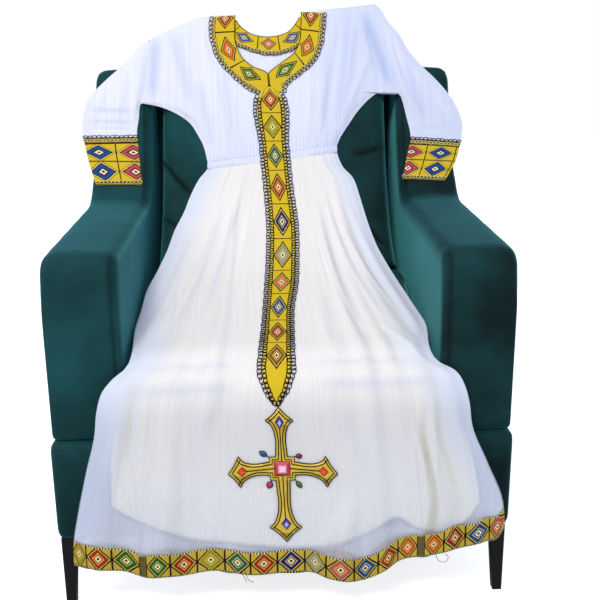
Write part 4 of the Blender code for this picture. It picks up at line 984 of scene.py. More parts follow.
# Sleeves: two wide tubes of the same gauze, set into straight dropped armholes and narrowed into
# the cuffs, with creases that fan from the shoulder.
# outer edge x and s, inner edge x and s, from the armhole seam to the cuff seam
SLEEVE_LEFT = ((-0.2700, 0.0560, -0.2856, 0.1990), (-0.2900, 0.0700, -0.2900, 0.2015),
               (-0.3150, 0.1000, -0.2918, 0.2060), (-0.3380, 0.1220, -0.2928, 0.2120),
               (-0.3600, 0.1420, -0.2934, 0.2200), (-0.3840, 0.1660, -0.2940, 0.2300),
               (-0.4020, 0.1900, -0.2955, 0.2410), (-0.4120, 0.2200, -0.2975, 0.2520),
               (-0.4165, 0.2480, -0.2985, 0.2620), (-0.4140, 0.2735, -0.2980, 0.2735))
SLEEVE_RIGHT = ((0.2270, -0.0235, 0.2741, 0.1840), (0.2390, -0.0130, 0.2765, 0.1865), (0.2520, 0.0120, 0.2790, 0.1900),
                (0.2810, 0.0500, 0.2815, 0.1980), (0.3000, 0.0860, 0.2840, 0.2070),
                (0.3270, 0.1190, 0.2862, 0.2170), (0.3570, 0.1500, 0.2885, 0.2280),
                (0.3850, 0.1850, 0.2910, 0.2400), (0.4030, 0.2180, 0.2940, 0.2520),
                (0.4125, 0.2500, 0.2965, 0.2640), (0.4085, 0.2930, 0.2985, 0.2840))
SLEEVE_CREASES = (
    (-0.285, 0.085, -0.305, 0.255, 3.2 * MM, 8.0 * MM),
    (-0.320, 0.125, -0.345, 0.262, 2.8 * MM, 8.0 * MM),
    (-0.355, 0.160, -0.385, 0.262, -2.4 * MM, 8.0 * MM),
    (-0.400, 0.255, -0.310, 0.258, -1.6 * MM, 3.5 * MM),
    (0.250, 0.030, 0.300, 0.240, 3.8 * MM, 8.0 * MM),
    (0.265, 0.080, 0.345, 0.265, -3.2 * MM, 8.0 * MM),
    (0.300, 0.110, 0.385, 0.270, 3.2 * MM, 8.0 * MM),
    (0.310, 0.262, 0.395, 0.268, -1.6 * MM, 3.5 * MM),
)


def tube_shape(table, marks, swell_height=3.0 * MM):
    """The shape function of a flattened tube through sections, each with its two side points."""
    lines = smooth_line(table, 12)
    steps = np.linspace(0, 1, len(lines))

    def shape(u, v):
        share, lift = around_shape(u, PANEL_LIFT + 0.5 * MM, 0.5 * MM)
        first_x, first_s, last_x, last_s = (np.interp(v, steps, lines[:, k]) for k in range(4))
        x = first_x + share * (last_x - first_x)
        s = first_s + share * (last_s - first_s)
        near = np.minimum(share, 1 - share)
        swell = swell_height * np.sin(math.pi * v) * rise(near, 0.0, 0.25)
        detail = creases(x, s, marks) * rise(near, 0.0, 0.12) * rise(np.minimum(v, 1 - v), 0.0, 0.06)
        return x, s, lift + np.where(u < 0.5, detail + swell, 0.0), x, s

    return shape


for side, table in (("left", SLEEVE_LEFT), ("right", tuple(row[2:] + row[:2] for row in SLEEVE_RIGHT))):
    sleeve = cloth("gauze_sleeve_" + side, 130, 74, tube_shape(table, SLEEVE_CREASES),
                   body_gauze, ["sleeve_" + side], 0.7 * MM, True, bodice_shade)


# Borders: tibeb, the woven and embroidered band of a habesha dress, gold thread over a cotton
# ground with a diamond in each cell.  Its colour comes from the UV "band": along it one unit a
# cell, across it from -1 to 1 over the woven part, and beyond 1 where a chain is stitched.
GOLD = "#d8bb1c"
DULL_GOLD = "#c6aa38"
LIGHT_GOLD = "#e6d154"
CREAM = "#f3e8b0"
FOLD_SHADE = "#665a30"
BLACK = "#17140f"
RED = "#ab2210"
OLIVE = "#a3961a"
TEAL = "#066058"
NAVY = "#17176e"
STONE = "#9c9a84"
SALMON = "#cf6a4e"
BLUE = "#0f4692"
BRICK = "#98221c"
BROWN = "#8a4a1c"
GREEN = "#066028"
ORANGE = "#cc4d16"
CRIMSON = "#98142a"
PINK = "#c0405c"
ROSE = "#c4585c"
# distance from a diamond's centre as a share of its outline, the fixed colour from there out,
# and how much of the cell's own colour is mixed in
RINGS = (
    (0.00, BLACK, 0.0),
    (0.12, CREAM, 0.0),
    (0.26, BLACK, 0.75),
    (0.38, LIGHT_GOLD, 0.0),
    (0.44, CREAM, 1.0),
    (0.71, BLACK, 0.15),
    (0.77, LIGHT_GOLD, 0.0),
    (0.84, BLACK, 0.0),
    (1.00, GOLD, 0.0),
)
# the cuffs' diamonds are plainer and larger
CUFF_RINGS = (
    (0.00, "#2e2c10", 0.0),
    (0.11, CREAM, 0.0),
    (0.26, BLACK, 0.10),
    (0.41, CREAM, 1.0),
    (0.68, BLACK, 0.10),
    (0.80, LIGHT_GOLD, 0.0),
    (0.90, "#54501a", 0.0),
    (0.97, GOLD, 0.0),
)


def steps_ramp(tree, amount, stops):
    """A ramp of flat steps through (place, colour) stops."""
    ramp = add_node(tree, "ShaderNodeValToRGB", in0=amount)
    ramp.color_ramp.interpolation = "CONSTANT"
    ramp.color_ramp.elements[0].position = stops[0][0]
    ramp.color_ramp.elements[0].color = stops[0][1]
    ramp.color_ramp.elements[1].position = stops[1][0]
    ramp.color_ramp.elements[1].color = stops[1][1]
    for place_at, colour_at in stops[2:]:
        ramp.color_ramp.elements.new(place_at).color = colour_at
    return ramp.outputs[0]


def tibeb(name, cells, half_along, half_across, bar, ground=GOLD, middle=0.0, rings=RINGS, dashed=0.0,
          edging="#8a7524"):
    """Band material.

    cells are the diamonds' colours in order, with None for a plain cell and
    FOLD_SHADE for one that lies in a fold.  half_along and half_across are the
    outline's reach in a cell, bar is a divider's half width, middle is the
    band's middle across, rings are the diamonds' colours from the centre out,
    dashed is how many stitches a cell has along each edge, and edging is the
    ground's colour beyond the woven part.  With the cuffs' rings, each unit
    across is a row of its own.
    """
    made, tree, shader = surface(name, ground, 0.7)
    shader.inputs["Specular IOR Level"].default_value = 0.2
    rows = rings is CUFF_RINGS
    place = add_node(tree, "ShaderNodeTexCoord").outputs["Object"]
    # real threads are 0.4 mm thick; the stitches are drawn 1 mm long so that they show
    stitch = add_node(tree, "ShaderNodeTexNoise", Vector=place, Scale=650.0, Detail=2.0).outputs["Fac"]
    waver = add_node(tree, "ShaderNodeTexNoise", Vector=place, Scale=160.0, Detail=1.0).outputs["Fac"]
    band = add_node(tree, "ShaderNodeSeparateXYZ", Vector=add_node(
        tree, "ShaderNodeUVMap", {"uv_map": "band"}).outputs[0])
    along, across = band.outputs[0], band.outputs[1]
    in_cell = sum_of(tree, "ABSOLUTE", sum_of(tree, "SUBTRACT", sum_of(tree, "FRACT", along, 0.0), 0.5), 0.0)
    off = across
    if rows:
        off = sum_of(tree, "MULTIPLY_ADD", sum_of(tree, "FRACT", across, 0.0), 2.0, -1.0)
    off = sum_of(tree, "ABSOLUTE", off, 0.0)
    reach = sum_of(tree, "MULTIPLY_ADD", off, 1 / half_across,
                   sum_of(tree, "MULTIPLY", in_cell, 1 / half_along))
    shaky = sum_of(tree, "MULTIPLY_ADD", sum_of(tree, "SUBTRACT", waver, 0.5), 0.10, reach)
    cell = sum_of(tree, "DIVIDE", sum_of(tree, "ADD", sum_of(tree, "FLOOR", along, 0.0), 0.5), len(cells))
    shares = [k / len(cells) for k in range(len(cells))]
    own = steps_ramp(tree, cell, [(k, tint(c or ground)) for k, c in zip(shares, cells)])
    plain = (None, FOLD_SHADE)
    shown = steps_ramp(tree, cell, [(k, tint("#000000" if c in plain else "#ffffff")) for k, c in zip(shares, cells)])
    shaky = sum_of(tree, "ADD", shaky, sum_of(tree, "MULTIPLY_ADD", shown, -2.0, 2.0))
    scaled = sum_of(tree, "MULTIPLY", shaky, 0.8)
    fixed = steps_ramp(tree, scaled, [(0.8 * d, tint(ground if c == GOLD else c)) for d, c, _ in rings])
    weight = steps_ramp(tree, scaled, [(0.8 * d, (w, w, w, 1.0)) for d, _, w in rings])
    colour = blend_of(tree, shown, own, blend_of(tree, weight, fixed, own))
    divider = sum_of(tree, "GREATER_THAN", in_cell, 0.5 - bar)
    colour = blend_of(tree, divider, colour, tint(BLACK))
    from_middle = sum_of(tree, "ABSOLUTE", sum_of(tree, "SUBTRACT", across, middle), 0.0)
    if rows:
        row_line = sum_of(tree, "LESS_THAN", from_middle, 0.035)
        colour = blend_of(tree, row_line, colour, tint("#6b5418"))
    if dashed:
        turn = sum_of(tree, "SINE", sum_of(tree, "MULTIPLY", along, dashed * 2 * math.pi), 0.0)
        dash = sum_of(tree, "GREATER_THAN", turn, -0.4)
        at_edge = sum_of(tree, "GREATER_THAN", from_middle, 0.90)
        colour = blend_of(tree, sum_of(tree, "MULTIPLY", at_edge, 0.92), colour,
                          blend_of(tree, dash, tint(CREAM), tint(BLACK)))
    else:
        edge_line = sum_of(tree, "GREATER_THAN", from_middle, 0.965)
        beyond = sum_of(tree, "GREATER_THAN", from_middle, 1.055)
        colour = blend_of(tree, edge_line, colour, tint(BLACK))
        colour = blend_of(tree, beyond, colour, tint(edging))
    colour = blend_of(tree, sum_of(tree, "MULTIPLY_ADD", stitch, 0.5, -0.18), colour,
                      blend_of(tree, 0.45, colour, tint("#4a3508")))
    tree.links.new(colour, shader.inputs["Base Color"])
    bump = add_node(tree, "ShaderNodeBump", Height=stitch, Strength=0.5, Distance=0.5 * MM)
    tree.links.new(bump.outputs[0], shader.inputs["Normal"])
    return made


def band_uv(mesh, first="flat"):
    """Renames the grid's UV to "band"."""
    mesh.uv_layers[first].name = "band"


def lay_mesh(mesh):
    """Lays a mesh whose points are x, minus s and lift."""
    flat, _ = points_of(mesh)
    put_points(mesh, lay(flat[:, 0], -flat[:, 1], flat[:, 2]))


def trim_between(name, inner, outer, across, steps_down, uv_of, material, node, level=TRIM_LIFT):
    """A strip between two lines of (x, s) points; uv_of(u, v, x, s) gives its place in the pattern."""
    steps = np.linspace(0, 1, len(inner))

    def shape(u, v):
        x = np.interp(v, steps, inner[:, 0]) * (1 - u) + np.interp(v, steps, outer[:, 0]) * u
        s = np.interp(v, steps, inner[:, 1]) * (1 - u) + np.interp(v, steps, outer[:, 1]) * u
        along, off = uv_of(u, v, x, s)
        crown = 0.5 * MM * np.sin(math.pi * u)
        return x, s, level + crown, along, off

    piece = cloth(name, across, steps_down, shape, material, [node] if node else [], 1.0 * MM)
    band_uv(piece.data)
    return piece


# Chains: black and yellow crochet chains stitched along the borders' edges, one round loop of
# thread after another, as thick as a knitting yarn.
LOOP_POINTS = 10
LOOP_TUBE = 0.75 * MM


def loop_of(length, width):
    """One lying loop of thread, as a mesh about its own middle."""
    bm = bmesh.new()
    bmesh.ops.create_circle(bm, segments=4, radius=LOOP_TUBE, matrix=Matrix.Translation((1.0, 0, 0))
                            @ Matrix.Rotation(math.radians(90), 4, "X"))
    bmesh.ops.spin(bm, geom=bm.verts[:] + bm.edges[:], cent=(0, 0, 0), axis=(0, 0, 1),
                   angle=2 * math.pi, steps=LOOP_POINTS, use_merge=True)
    for vert in bm.verts:
        radius = math.hypot(vert.co.x, vert.co.y)
        turn = math.atan2(vert.co.y, vert.co.x)
        vert.co.x = (length / 2 + radius - 1.0) * math.cos(turn)
        vert.co.y = (width / 2 + radius - 1.0) * math.sin(turn)
    bmesh.ops.recalc_face_normals(bm, faces=bm.faces)
    mesh = bpy.data.meshes.new("loop")
    bm.to_mesh(mesh)
    bm.free()
    return mesh


def walk(line, pitch):
    """Points spaced evenly along a line, with its direction at each."""
    steps = np.hypot(*np.diff(line, axis=0).T)
    run = np.concatenate([[0.0], np.cumsum(steps)])
    count = max(2, round(run[-1] / pitch))
    at = (np.arange(count) + 0.5) * run[-1] / count
    points = np.column_stack([np.interp(at, run, line[:, k]) for k in (0, 1)])
    ahead_of = np.column_stack([np.interp(at + MM, run, line[:, k]) for k in (0, 1)])
    behind = np.column_stack([np.interp(at - MM, run, line[:, k]) for k in (0, 1)])
    return points, ahead_of - behind


def chain(name, lines, pitch, length, width, material, lift_of):
    """Chains along lines of (x, s) points; lift_of(x, s) is the level that they lie on."""
    loop = loop_of(length, width)
    bm = bmesh.new()
    for line in lines:
        places, directions = walk(np.asarray(line, float), pitch)
        for k, ((x, s), (run_x, run_s)) in enumerate(zip(places, directions)):
            first = len(bm.verts)
            bm.from_mesh(loop)
            bm.verts.ensure_lookup_table()
            tilt = 0.22 * math.sin(2.4 * k)
            turn = Matrix.Rotation(math.atan2(-run_s, run_x) + tilt, 4, "Z")
            level = float(lift_of(np.array([x]), np.array([s]))[0])
            aside = 0.6 * MM * math.sin(1.7 * k) / math.hypot(run_x, run_s)
            move = Matrix.Translation((x - aside * run_s, -s - aside * run_x,
                                       level + LOOP_TUBE + (0.25 * MM if k % 2 else 0.0)))
            bmesh.ops.transform(bm, matrix=move @ turn, verts=bm.verts[first:])
    mesh = bpy.data.meshes.new(name)
    bm.to_mesh(mesh)
    bm.free()
    bpy.data.meshes.remove(loop)
    lay_mesh(mesh)
    return finish_piece(name, mesh, material)


def cord_lines(name, lines, radius, material):
    """Couched cord: round tubes along lines of points (x, s, lift)."""
    curve = bpy.data.curves.new(name, "CURVE")
    curve.dimensions = "3D"
    curve.bevel_depth = radius
    curve.bevel_resolution = 1
    for points, closed in lines:
        laid = lay(points[:, 0], points[:, 1], points[:, 2])
        spline = curve.splines.new("POLY")
        spline.points.add(len(laid) - 1)
        spline.points.foreach_set("co", np.column_stack([laid, np.ones(len(laid))]).ravel())
        spline.use_cyclic_u = closed
    curve.materials.append(material)
    thing = bpy.data.objects.new(name, curve)
    bpy.context.collection.objects.link(thing)
    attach(thing, "root")
    return thing


black_thread, tree, shader = surface("black_cotton_thread", "#12110d", 0.8)
shader.inputs["Specular IOR Level"].default_value = 0.1
yellow_thread, tree, shader = surface("pale_yellow_cotton_thread", "#e9dc8c", 0.7)
shader.inputs["Sheen Weight"].default_value = 0.2

# Hem bands: a woven band with a diamond and a dark bar in each cell, sewn to the front and the
# back panel's lower edges; it waves and folds with the skirt.
# x across the hem of each divider between cells
HEM_DIVIDERS = (-0.368, -0.345, -0.300, -0.253, -0.243, -0.200, -0.155, -0.107, -0.063, -0.016,
                0.032, 0.068, 0.117, 0.159, 0.195, 0.229, 0.241, 0.272, 0.313, 0.355, 0.384)
HEM_CELLS = (OLIVE, RED, GREEN, FOLD_SHADE, GREEN, RED, OLIVE, TEAL, RED, NAVY, STONE, ROSE, BLUE, RED, ORANGE,
             FOLD_SHADE, ORANGE, CRIMSON, BLUE, PINK)
hem_pattern = tibeb("tibeb_hem_band", HEM_CELLS, 0.53, 1.16, 0.035, DULL_GOLD, dashed=9.0)


def hem_front_shape(u, v):
    """The band on the front panel's hem."""
    x, s = skirt_places(u, v, lambda x: hem(x) - HEM_BAND_HEIGHT, hem)
    return (x, s, skirt_lift(x, s, u), np.interp(x, HEM_DIVIDERS, np.arange(len(HEM_DIVIDERS))), 2 * v - 1)


def hem_back_shape(u, v):
    """The band on the back panel's hem."""
    x, s = skirt_places(u, v, lambda x: hem(x) - HEM_BAND_HEIGHT, hem)
    s = s + BACK_HEM_DROP
    lift = 1.7 * MM - back_fold(x, s) * rise(np.minimum(u, 1 - u), 0.0, 0.08)
    return x, s, lift, np.interp(x, HEM_DIVIDERS, np.arange(len(HEM_DIVIDERS))), 2 * v - 1


for name, shape in (("hem_band_front", hem_front_shape), ("hem_band_back", hem_back_shape)):
    hem_band = cloth("tibeb_" + name, 300 if "front" in name else 120, 10, shape, hem_pattern, [name], 1.1 * MM)
    band_uv(hem_band.data)

# loose thread ends below the hem, as points x, s and lift
LOOSE_ENDS = (((-0.074, 1.300, 9.5), (-0.070, 1.312, 9.0), (-0.066, 1.322, 8.0), (-0.058, 1.325, 8.0)),
              ((-0.080, 1.304, 9.5), (-0.073, 1.317, 9.0), (-0.071, 1.325, 8.0)),
              ((0.262, 1.272, 9.0), (0.262, 1.284, 8.5), (0.268, 1.296, 8.0), (0.279, 1.298, 8.0),
               (0.284, 1.289, 8.0), (0.278, 1.282, 8.0)))
ends = [(smooth_line(np.array(points) * (1, 1, MM), 5), False) for points in LOOSE_ENDS]
cord_lines("loose_thread_ends", ends, 0.45 * MM, black_thread)

# Cuffs: a stiff band of the same weave on each sleeve, two diamonds wide and two rows deep, with
# a black chain where it meets the sleeve and a yellow one at its end.
CUFF_LEFT = ((-0.4137, 0.2739, -0.2978, 0.2739), (-0.4040, 0.3200, -0.2930, 0.3270),
             (-0.3850, 0.3820, -0.2870, 0.3830))
CUFF_RIGHT = ((0.2985, 0.2845, 0.4085, 0.2935), (0.2870, 0.3280, 0.3960, 0.3340),
              (0.2755, 0.3770, 0.3680, 0.3830))
CUFF_EDGE = 0.24
CUFF_DROP = 0.09


def cuff_shape(table, start, rate, lean):
    """The shape function of a cuff; its UV counts diamonds round it from start on, and leaning rows down it."""
    lines = smooth_line(table, 10)
    steps = np.linspace(0, 1, len(lines))

    def shape(u, v):
        share, lift = around_shape(u, PANEL_LIFT, 0.5 * MM)
        first_x, first_s, last_x, last_s = (np.interp(v, steps, lines[:, k]) for k in range(4))
        x = first_x + share * (last_x - first_x)
        s = first_s + share * (last_s - first_s)
        along = start + rate * np.where(u < 0.5, share, 2 - share)
        return x, s, lift, along, (2 + 2 * CUFF_EDGE) * v - CUFF_EDGE - CUFF_DROP - lean * (0.5 - share)

    return shape


# side, sections, diamonds round it, where the count starts, diamonds across the front, lean of the rows
CUFFS = (("left", CUFF_LEFT, (BLUE, PINK, BLUE, PINK), 0.136, 1.515, 0.09),
         ("right", CUFF_RIGHT, (PINK, BLUE, PINK, BLUE), 0.38, 1.72, 0.0))


def cuff_level(x, s):
    """The level of a cuff's upper side."""
    return PANEL_LIFT + 0 * x


for side, table, cells, start, rate, lean in CUFFS:
    cuff_pattern = tibeb("tibeb_cuff_" + side, cells, 0.52, 1.08, 0.018, GOLD, middle=1.0, rings=CUFF_RINGS)
    cuff = cloth("tibeb_cuff_" + side, 110, 40, cuff_shape(table, start, rate, lean), cuff_pattern,
                 ["cuff_" + side], 1.0 * MM, True)
    band_uv(cuff.data)
    top = np.array((table[0][:2], table[0][2:]))
    foot = np.array((table[-1][:2], table[-1][2:]))
    chain("black_chain_cuff_" + side, [top + (0, -0.001)], 9.5 * MM, 11 * MM, 6.5 * MM, black_thread, cuff_level)
    chain("yellow_chain_cuff_" + side, [top + (0, 0.0065), foot + (0, -0.006)], 8 * MM, 9 * MM, 6 * MM,
          yellow_thread, cuff_level)

# Neck bands: the same border round the V neck, mitred at its foot, and a facing that shows
# inside the back of the neck.
# inner edge x and s, outer edge x and s, from the shoulder seam to the front
NECK_BAND_LEFT = ((-0.082, 0.003, -0.133, 0.007), (-0.083, 0.034, -0.136, 0.036),
                  (-0.082, 0.066, -0.130, 0.074), (-0.071, 0.095, -0.117, 0.106),
                  (-0.058, 0.110, -0.090, 0.138), (-0.044, 0.121, -0.063, 0.163),
                  (-0.0125, 0.1375, -0.042, 0.1765), (-0.0092, 0.1786, -0.0300, 0.1786))
NECK_BAND_RIGHT = ((0.064, -0.004, 0.116, -0.001), (0.0625, 0.030, 0.112, 0.036),
                   (0.060, 0.060, 0.105, 0.074), (0.052, 0.080, 0.089, 0.108),
                   (0.042, 0.094, 0.063, 0.132), (0.010, 0.118, 0.037, 0.152),
                   (-0.0115, 0.1375, 0.024, 0.1665), (-0.0088, 0.1786, 0.0235, 0.1786))
NECK_BAND_BACK = ((-0.080, 0.012, -0.124, 0.020), (-0.073, 0.024, -0.108, 0.046),
                  (-0.060, 0.036, -0.084, 0.066), (-0.042, 0.046, -0.050, 0.081),
                  (-0.010, 0.051, -0.009, 0.091), (0.021, 0.046, 0.030, 0.085),
                  (0.039, 0.036, 0.064, 0.068), (0.052, 0.020, 0.088, 0.046),
                  (0.060, 0.006, 0.106, 0.014))
# shares along each band, the count of cells at them, and the cells' colours
NECK_CELLS = ((0.0, 0.17, 0.52, 0.86, 1.0), (0.40, 1.0, 2.0, 2.96, 2.965), (RED, ORANGE, GREEN))
BACK_NECK_CELLS = ((0.0, 0.14, 0.42, 0.58, 0.86, 1.0), (0.03, 0.97, 2.0, 3.0, 4.03, 4.97),
                   (None, BLUE, ROSE, BLUE, None))
NECK_EDGE = 1.42


for side, table, (ends, counts, cells), level in (
        ("left", NECK_BAND_LEFT, NECK_CELLS, TRIM_LIFT), ("right", NECK_BAND_RIGHT, NECK_CELLS, TRIM_LIFT),
        ("back", NECK_BAND_BACK, BACK_NECK_CELLS, 3.3 * MM)):
    pattern = tibeb("tibeb_neck_" + side, cells, 0.40, 0.86, 0.02)
    lines = smooth_line(table, 12)
    inner, outer = lines[:, :2], lines[:, 2:]

    def neck_uv(u, v, x, s, ends=ends, counts=counts):
        return np.interp(v, ends, counts), -1 + (1 + NECK_EDGE) * u

    if side == "right":
        piece = trim_between("tibeb_neck_band_right", inner, outer, 12, 110, neck_uv, pattern, "neck_band_right")
    else:
        flip = lambda u, v, x, s, uv=neck_uv: uv(1 - u, v, x, s)
        piece = trim_between("tibeb_neck_band_" + side, outer, inner, 12, 110, flip, pattern,
                             "neck_band_" + side, level)
    edge = inner + (outer - inner) * 1.01
    near_edge = inner + (outer - inner) * 0.905
    level_here = lambda x, s, level=level: level + 0 * x
    if side == "back":
        chain("black_chain_neck_back", [edge], 8 * MM, 9 * MM, 5 * MM, black_thread, level_here)
        piping = [(np.column_stack([inner, np.full(len(inner), level)]), False)]
    else:
        chain("black_chain_neck_" + side, [edge], 9.5 * MM, 12 * MM, 7.5 * MM, black_thread, level_here)
        piping = [(np.column_stack([inner, np.full(len(inner), level)]), False)]
    cord_lines("black_neck_piping_" + side, piping, 0.8 * MM, black_thread)
    chain("yellow_chain_neck_" + side, [near_edge], 8 * MM, 8.5 * MM, 6.5 * MM, yellow_thread, level_here)

# Placket: the long border down the front, from the foot of the V to a point above the cross,
# with a black chain along each edge of its gold and a second one outside on the gauze.
# s of each divider between cells
PLACKET_DIVIDERS = (0.165, 0.224, 0.287, 0.354, 0.434, 0.525, 0.619, 0.698, 0.793, 0.877, 0.948, 1.000)
# the last cell runs on into the plain tip without a divider
PLACKET_COUNTS = (0, 1, 2, 3, 4, 5, 6, 7, 8, 9, 9.97, 9.975)
PLACKET_CELLS = (RED, OLIVE, TEAL, RED, NAVY, STONE, SALMON, BLUE, BRICK, BROWN)
GOLD_SHARE = 0.56
TRIM_SHARE = 0.78
placket_pattern = tibeb("tibeb_placket", PLACKET_CELLS, 0.43, 1.04, 0.013, edging="#e2cd58")
PLACKET_LINE = smooth_line(((0.160, -0.0100, 0.0006), (0.178, -0.0092, 0.0250)) + tuple(PLACKET[1:]), 14)
PLACKET_LEVEL = TRIM_LIFT + 0.3 * MM


def placket_edge(share, top=0.0):
    """A line of (x, s) points down the placket at a share of its half width, from s = top."""
    line = PLACKET_LINE[PLACKET_LINE[:, 0] >= top]
    return np.column_stack([line[:, 1] + share * line[:, 2], line[:, 0]])


def placket_uv(u, v, x, s):
    """Cells by s, and across in units of the gold body's half width."""
    return (np.interp(s, PLACKET_DIVIDERS, PLACKET_COUNTS),
            (2 * u - 1) * TRIM_SHARE / GOLD_SHARE)


placket = trim_between("tibeb_placket_band", placket_edge(-TRIM_SHARE), placket_edge(TRIM_SHARE), 14, 330,
                       placket_uv, placket_pattern, "placket_band", PLACKET_LEVEL)
cord_lines("black_mitre_cord", [(np.array(((-0.0122, 0.1385, TRIM_LIFT + 1.0 * MM), (-0.0106, 0.164, TRIM_LIFT + 1.0 * MM))), False)],
           0.55 * MM, black_thread)
chain("black_chain_placket_inner", [placket_edge(-0.67, 0.185), placket_edge(0.67, 0.185)], 7.4 * MM, 9.8 * MM,
      6.4 * MM, black_thread, lambda x, s: PLACKET_LEVEL + 0 * x)
chain("black_chain_placket_outer", [placket_edge(-0.91, 0.182), placket_edge(0.91, 0.172)], 7.9 * MM, 11.5 * MM,
      7.8 * MM, black_thread, lambda x, s: PANEL_LIFT + 0.6 * MM + 0 * x)

# Cross: cut from gold-threaded cloth and couched down with black cord along its outline and
# inside it; set with five glass gems and four small embroidered leaf buds.
CROSS_LEAN = 0.045
CROSS_TURN = -0.023
CROSS_DROOP = 1.25
CROSS_SQUARE = 0.021
# along an arm as a share of its length, and half its width there as a share of its drawn width
CROSS_ARM = ((0.30, 0.098), (0.45, 0.088), (0.62, 0.112), (0.74, 0.170), (0.795, 0.245), (0.88, 0.120))
# direction across and down, arm length, and the width it is drawn at
CROSS_ARMS = ((0, -1, 0.109, 0.094), (1, 0, 0.094, 0.114), (0, 1, 0.137, 0.112), (-1, 0, 0.091, 0.114))


def cross_outline():
    """The cross's outline about its own middle, as points across and down."""
    points = []
    for across, down, length, wide in CROSS_ARMS:
        side_x, side_s = -down, across
        stem = smooth_line([(CROSS_SQUARE / length, 0.105)] + list(CROSS_ARM[:5]), 6)
        tip = smooth_line([CROSS_ARM[4], CROSS_ARM[5], (1.0, 0.0)], 5)[1:]
        profile = [(share * length, half * wide) for share, half in np.vstack([stem, tip])]
        points.append((across * CROSS_SQUARE - side_x * CROSS_SQUARE, down * CROSS_SQUARE - side_s * CROSS_SQUARE))
        points += [(across * a - side_x * h, down * a - side_s * h) for a, h in profile]
        points += [(across * a + side_x * h, down * a + side_s * h) for a, h in reversed(profile[:-1])]
    return np.array(points)


def inset(points, depth):
    """The outline moved in by a depth along its own normals."""
    before = points - np.roll(points, 1, axis=0)
    after = np.roll(points, -1, axis=0) - points
    normals = []
    for a, b in zip(before, after):
        a = a / np.linalg.norm(a)
        b = b / np.linalg.norm(b)
        normal = np.array((-(a[1] + b[1]), a[0] + b[0]))
        size = np.linalg.norm(normal)
        normals.append(normal / size / max(0.45, size / 2))
    return points + depth * np.array(normals)


def cross_place(points):
    """x and s of points given about the cross's middle."""
    return np.column_stack([CROSS_CENTRE[0] + points[:, 0] + CROSS_LEAN * points[:, 1],
                            CROSS_CENTRE[1] + points[:, 1] - CROSS_TURN * points[:, 0]
                            + CROSS_DROOP * points[:, 0] ** 2])


gold_cloth, tree, shader = surface("gold_thread_cloth", "#d8b83a", 0.5)
shader.inputs["Metallic"].default_value = 0.15
shader.inputs["Sheen Weight"].default_value = 0.2
place = add_node(tree, "ShaderNodeTexCoord").outputs["Object"]
stitch = add_node(tree, "ShaderNodeTexNoise", Vector=place, Scale=420.0, Detail=2.0).outputs["Fac"]
tree.links.new(blend_of(tree, stitch, tint("#c29e1e"), tint("#f6da50")), shader.inputs["Base Color"])
bump = add_node(tree, "ShaderNodeBump", Height=stitch, Strength=0.5, Distance=0.5 * MM)
tree.links.new(bump.outputs[0], shader.inputs["Normal"])

outline = cross_outline()
bm = bmesh.new()
face = bm.faces.new([bm.verts.new((x, -s, TRIM_LIFT - 0.6 * MM)) for x, s in cross_place(outline)])
bmesh.ops.triangulate(bm, faces=[face])
for cut in range(-13, 15):
    level_s = CROSS_CENTRE[1] + cut * 0.010
    bmesh.ops.bisect_plane(bm, geom=bm.verts[:] + bm.edges[:] + bm.faces[:], plane_co=(0, -level_s, 0),
                           plane_no=(0, 1, 0))
bmesh.ops.recalc_face_normals(bm, faces=bm.faces)
if bm.faces[:][0].normal.z < 0:
    bmesh.ops.reverse_faces(bm, faces=bm.faces)
mesh = bpy.data.meshes.new("cross")
bm.to_mesh(mesh)
bm.free()
lay_mesh(mesh)
cross = finish_piece("gold_cross", mesh, gold_cloth, ["cross"])
solid = cross.modifiers.new("wall", "SOLIDIFY")
solid.thickness = 1.2 * MM
solid.offset = 1.0


def raised(points, lift):
    """Points across and down about the cross's middle, as x, s and lift."""
    places = cross_place(np.asarray(points, float))
    return np.column_stack([places, np.full(len(places), lift)])


CORD_LIFT = TRIM_LIFT + 0.8 * MM
cords = [(raised(outline, TRIM_LIFT + 0.2 * MM), True), (raised(inset(outline, 4.6 * MM), CORD_LIFT), True)]
for across, down, length, wide in CROSS_ARMS:
    first, last = 0.013, length * 0.72
    cords.append((raised([(across * first, down * first), (across * last, down * last)], CORD_LIFT), False))
cord_lines("black_cross_cord", cords, 0.95 * MM, black_thread)

GEM_BLUE = "#1a1496"
GEM_RED = "#d62c08"
# across and down from the middle, half width, half length, height, colour
GEMS = (
    (0.0, -0.083, 0.0070, 0.0125, 0.0035, GEM_BLUE),
    (0.001, 0.103, 0.0080, 0.0115, 0.0035, GEM_BLUE),
    (-0.068, 0.0, 0.0085, 0.0085, 0.0035, GEM_RED),
    (0.070, 0.0, 0.0085, 0.0085, 0.0035, GEM_RED),
)


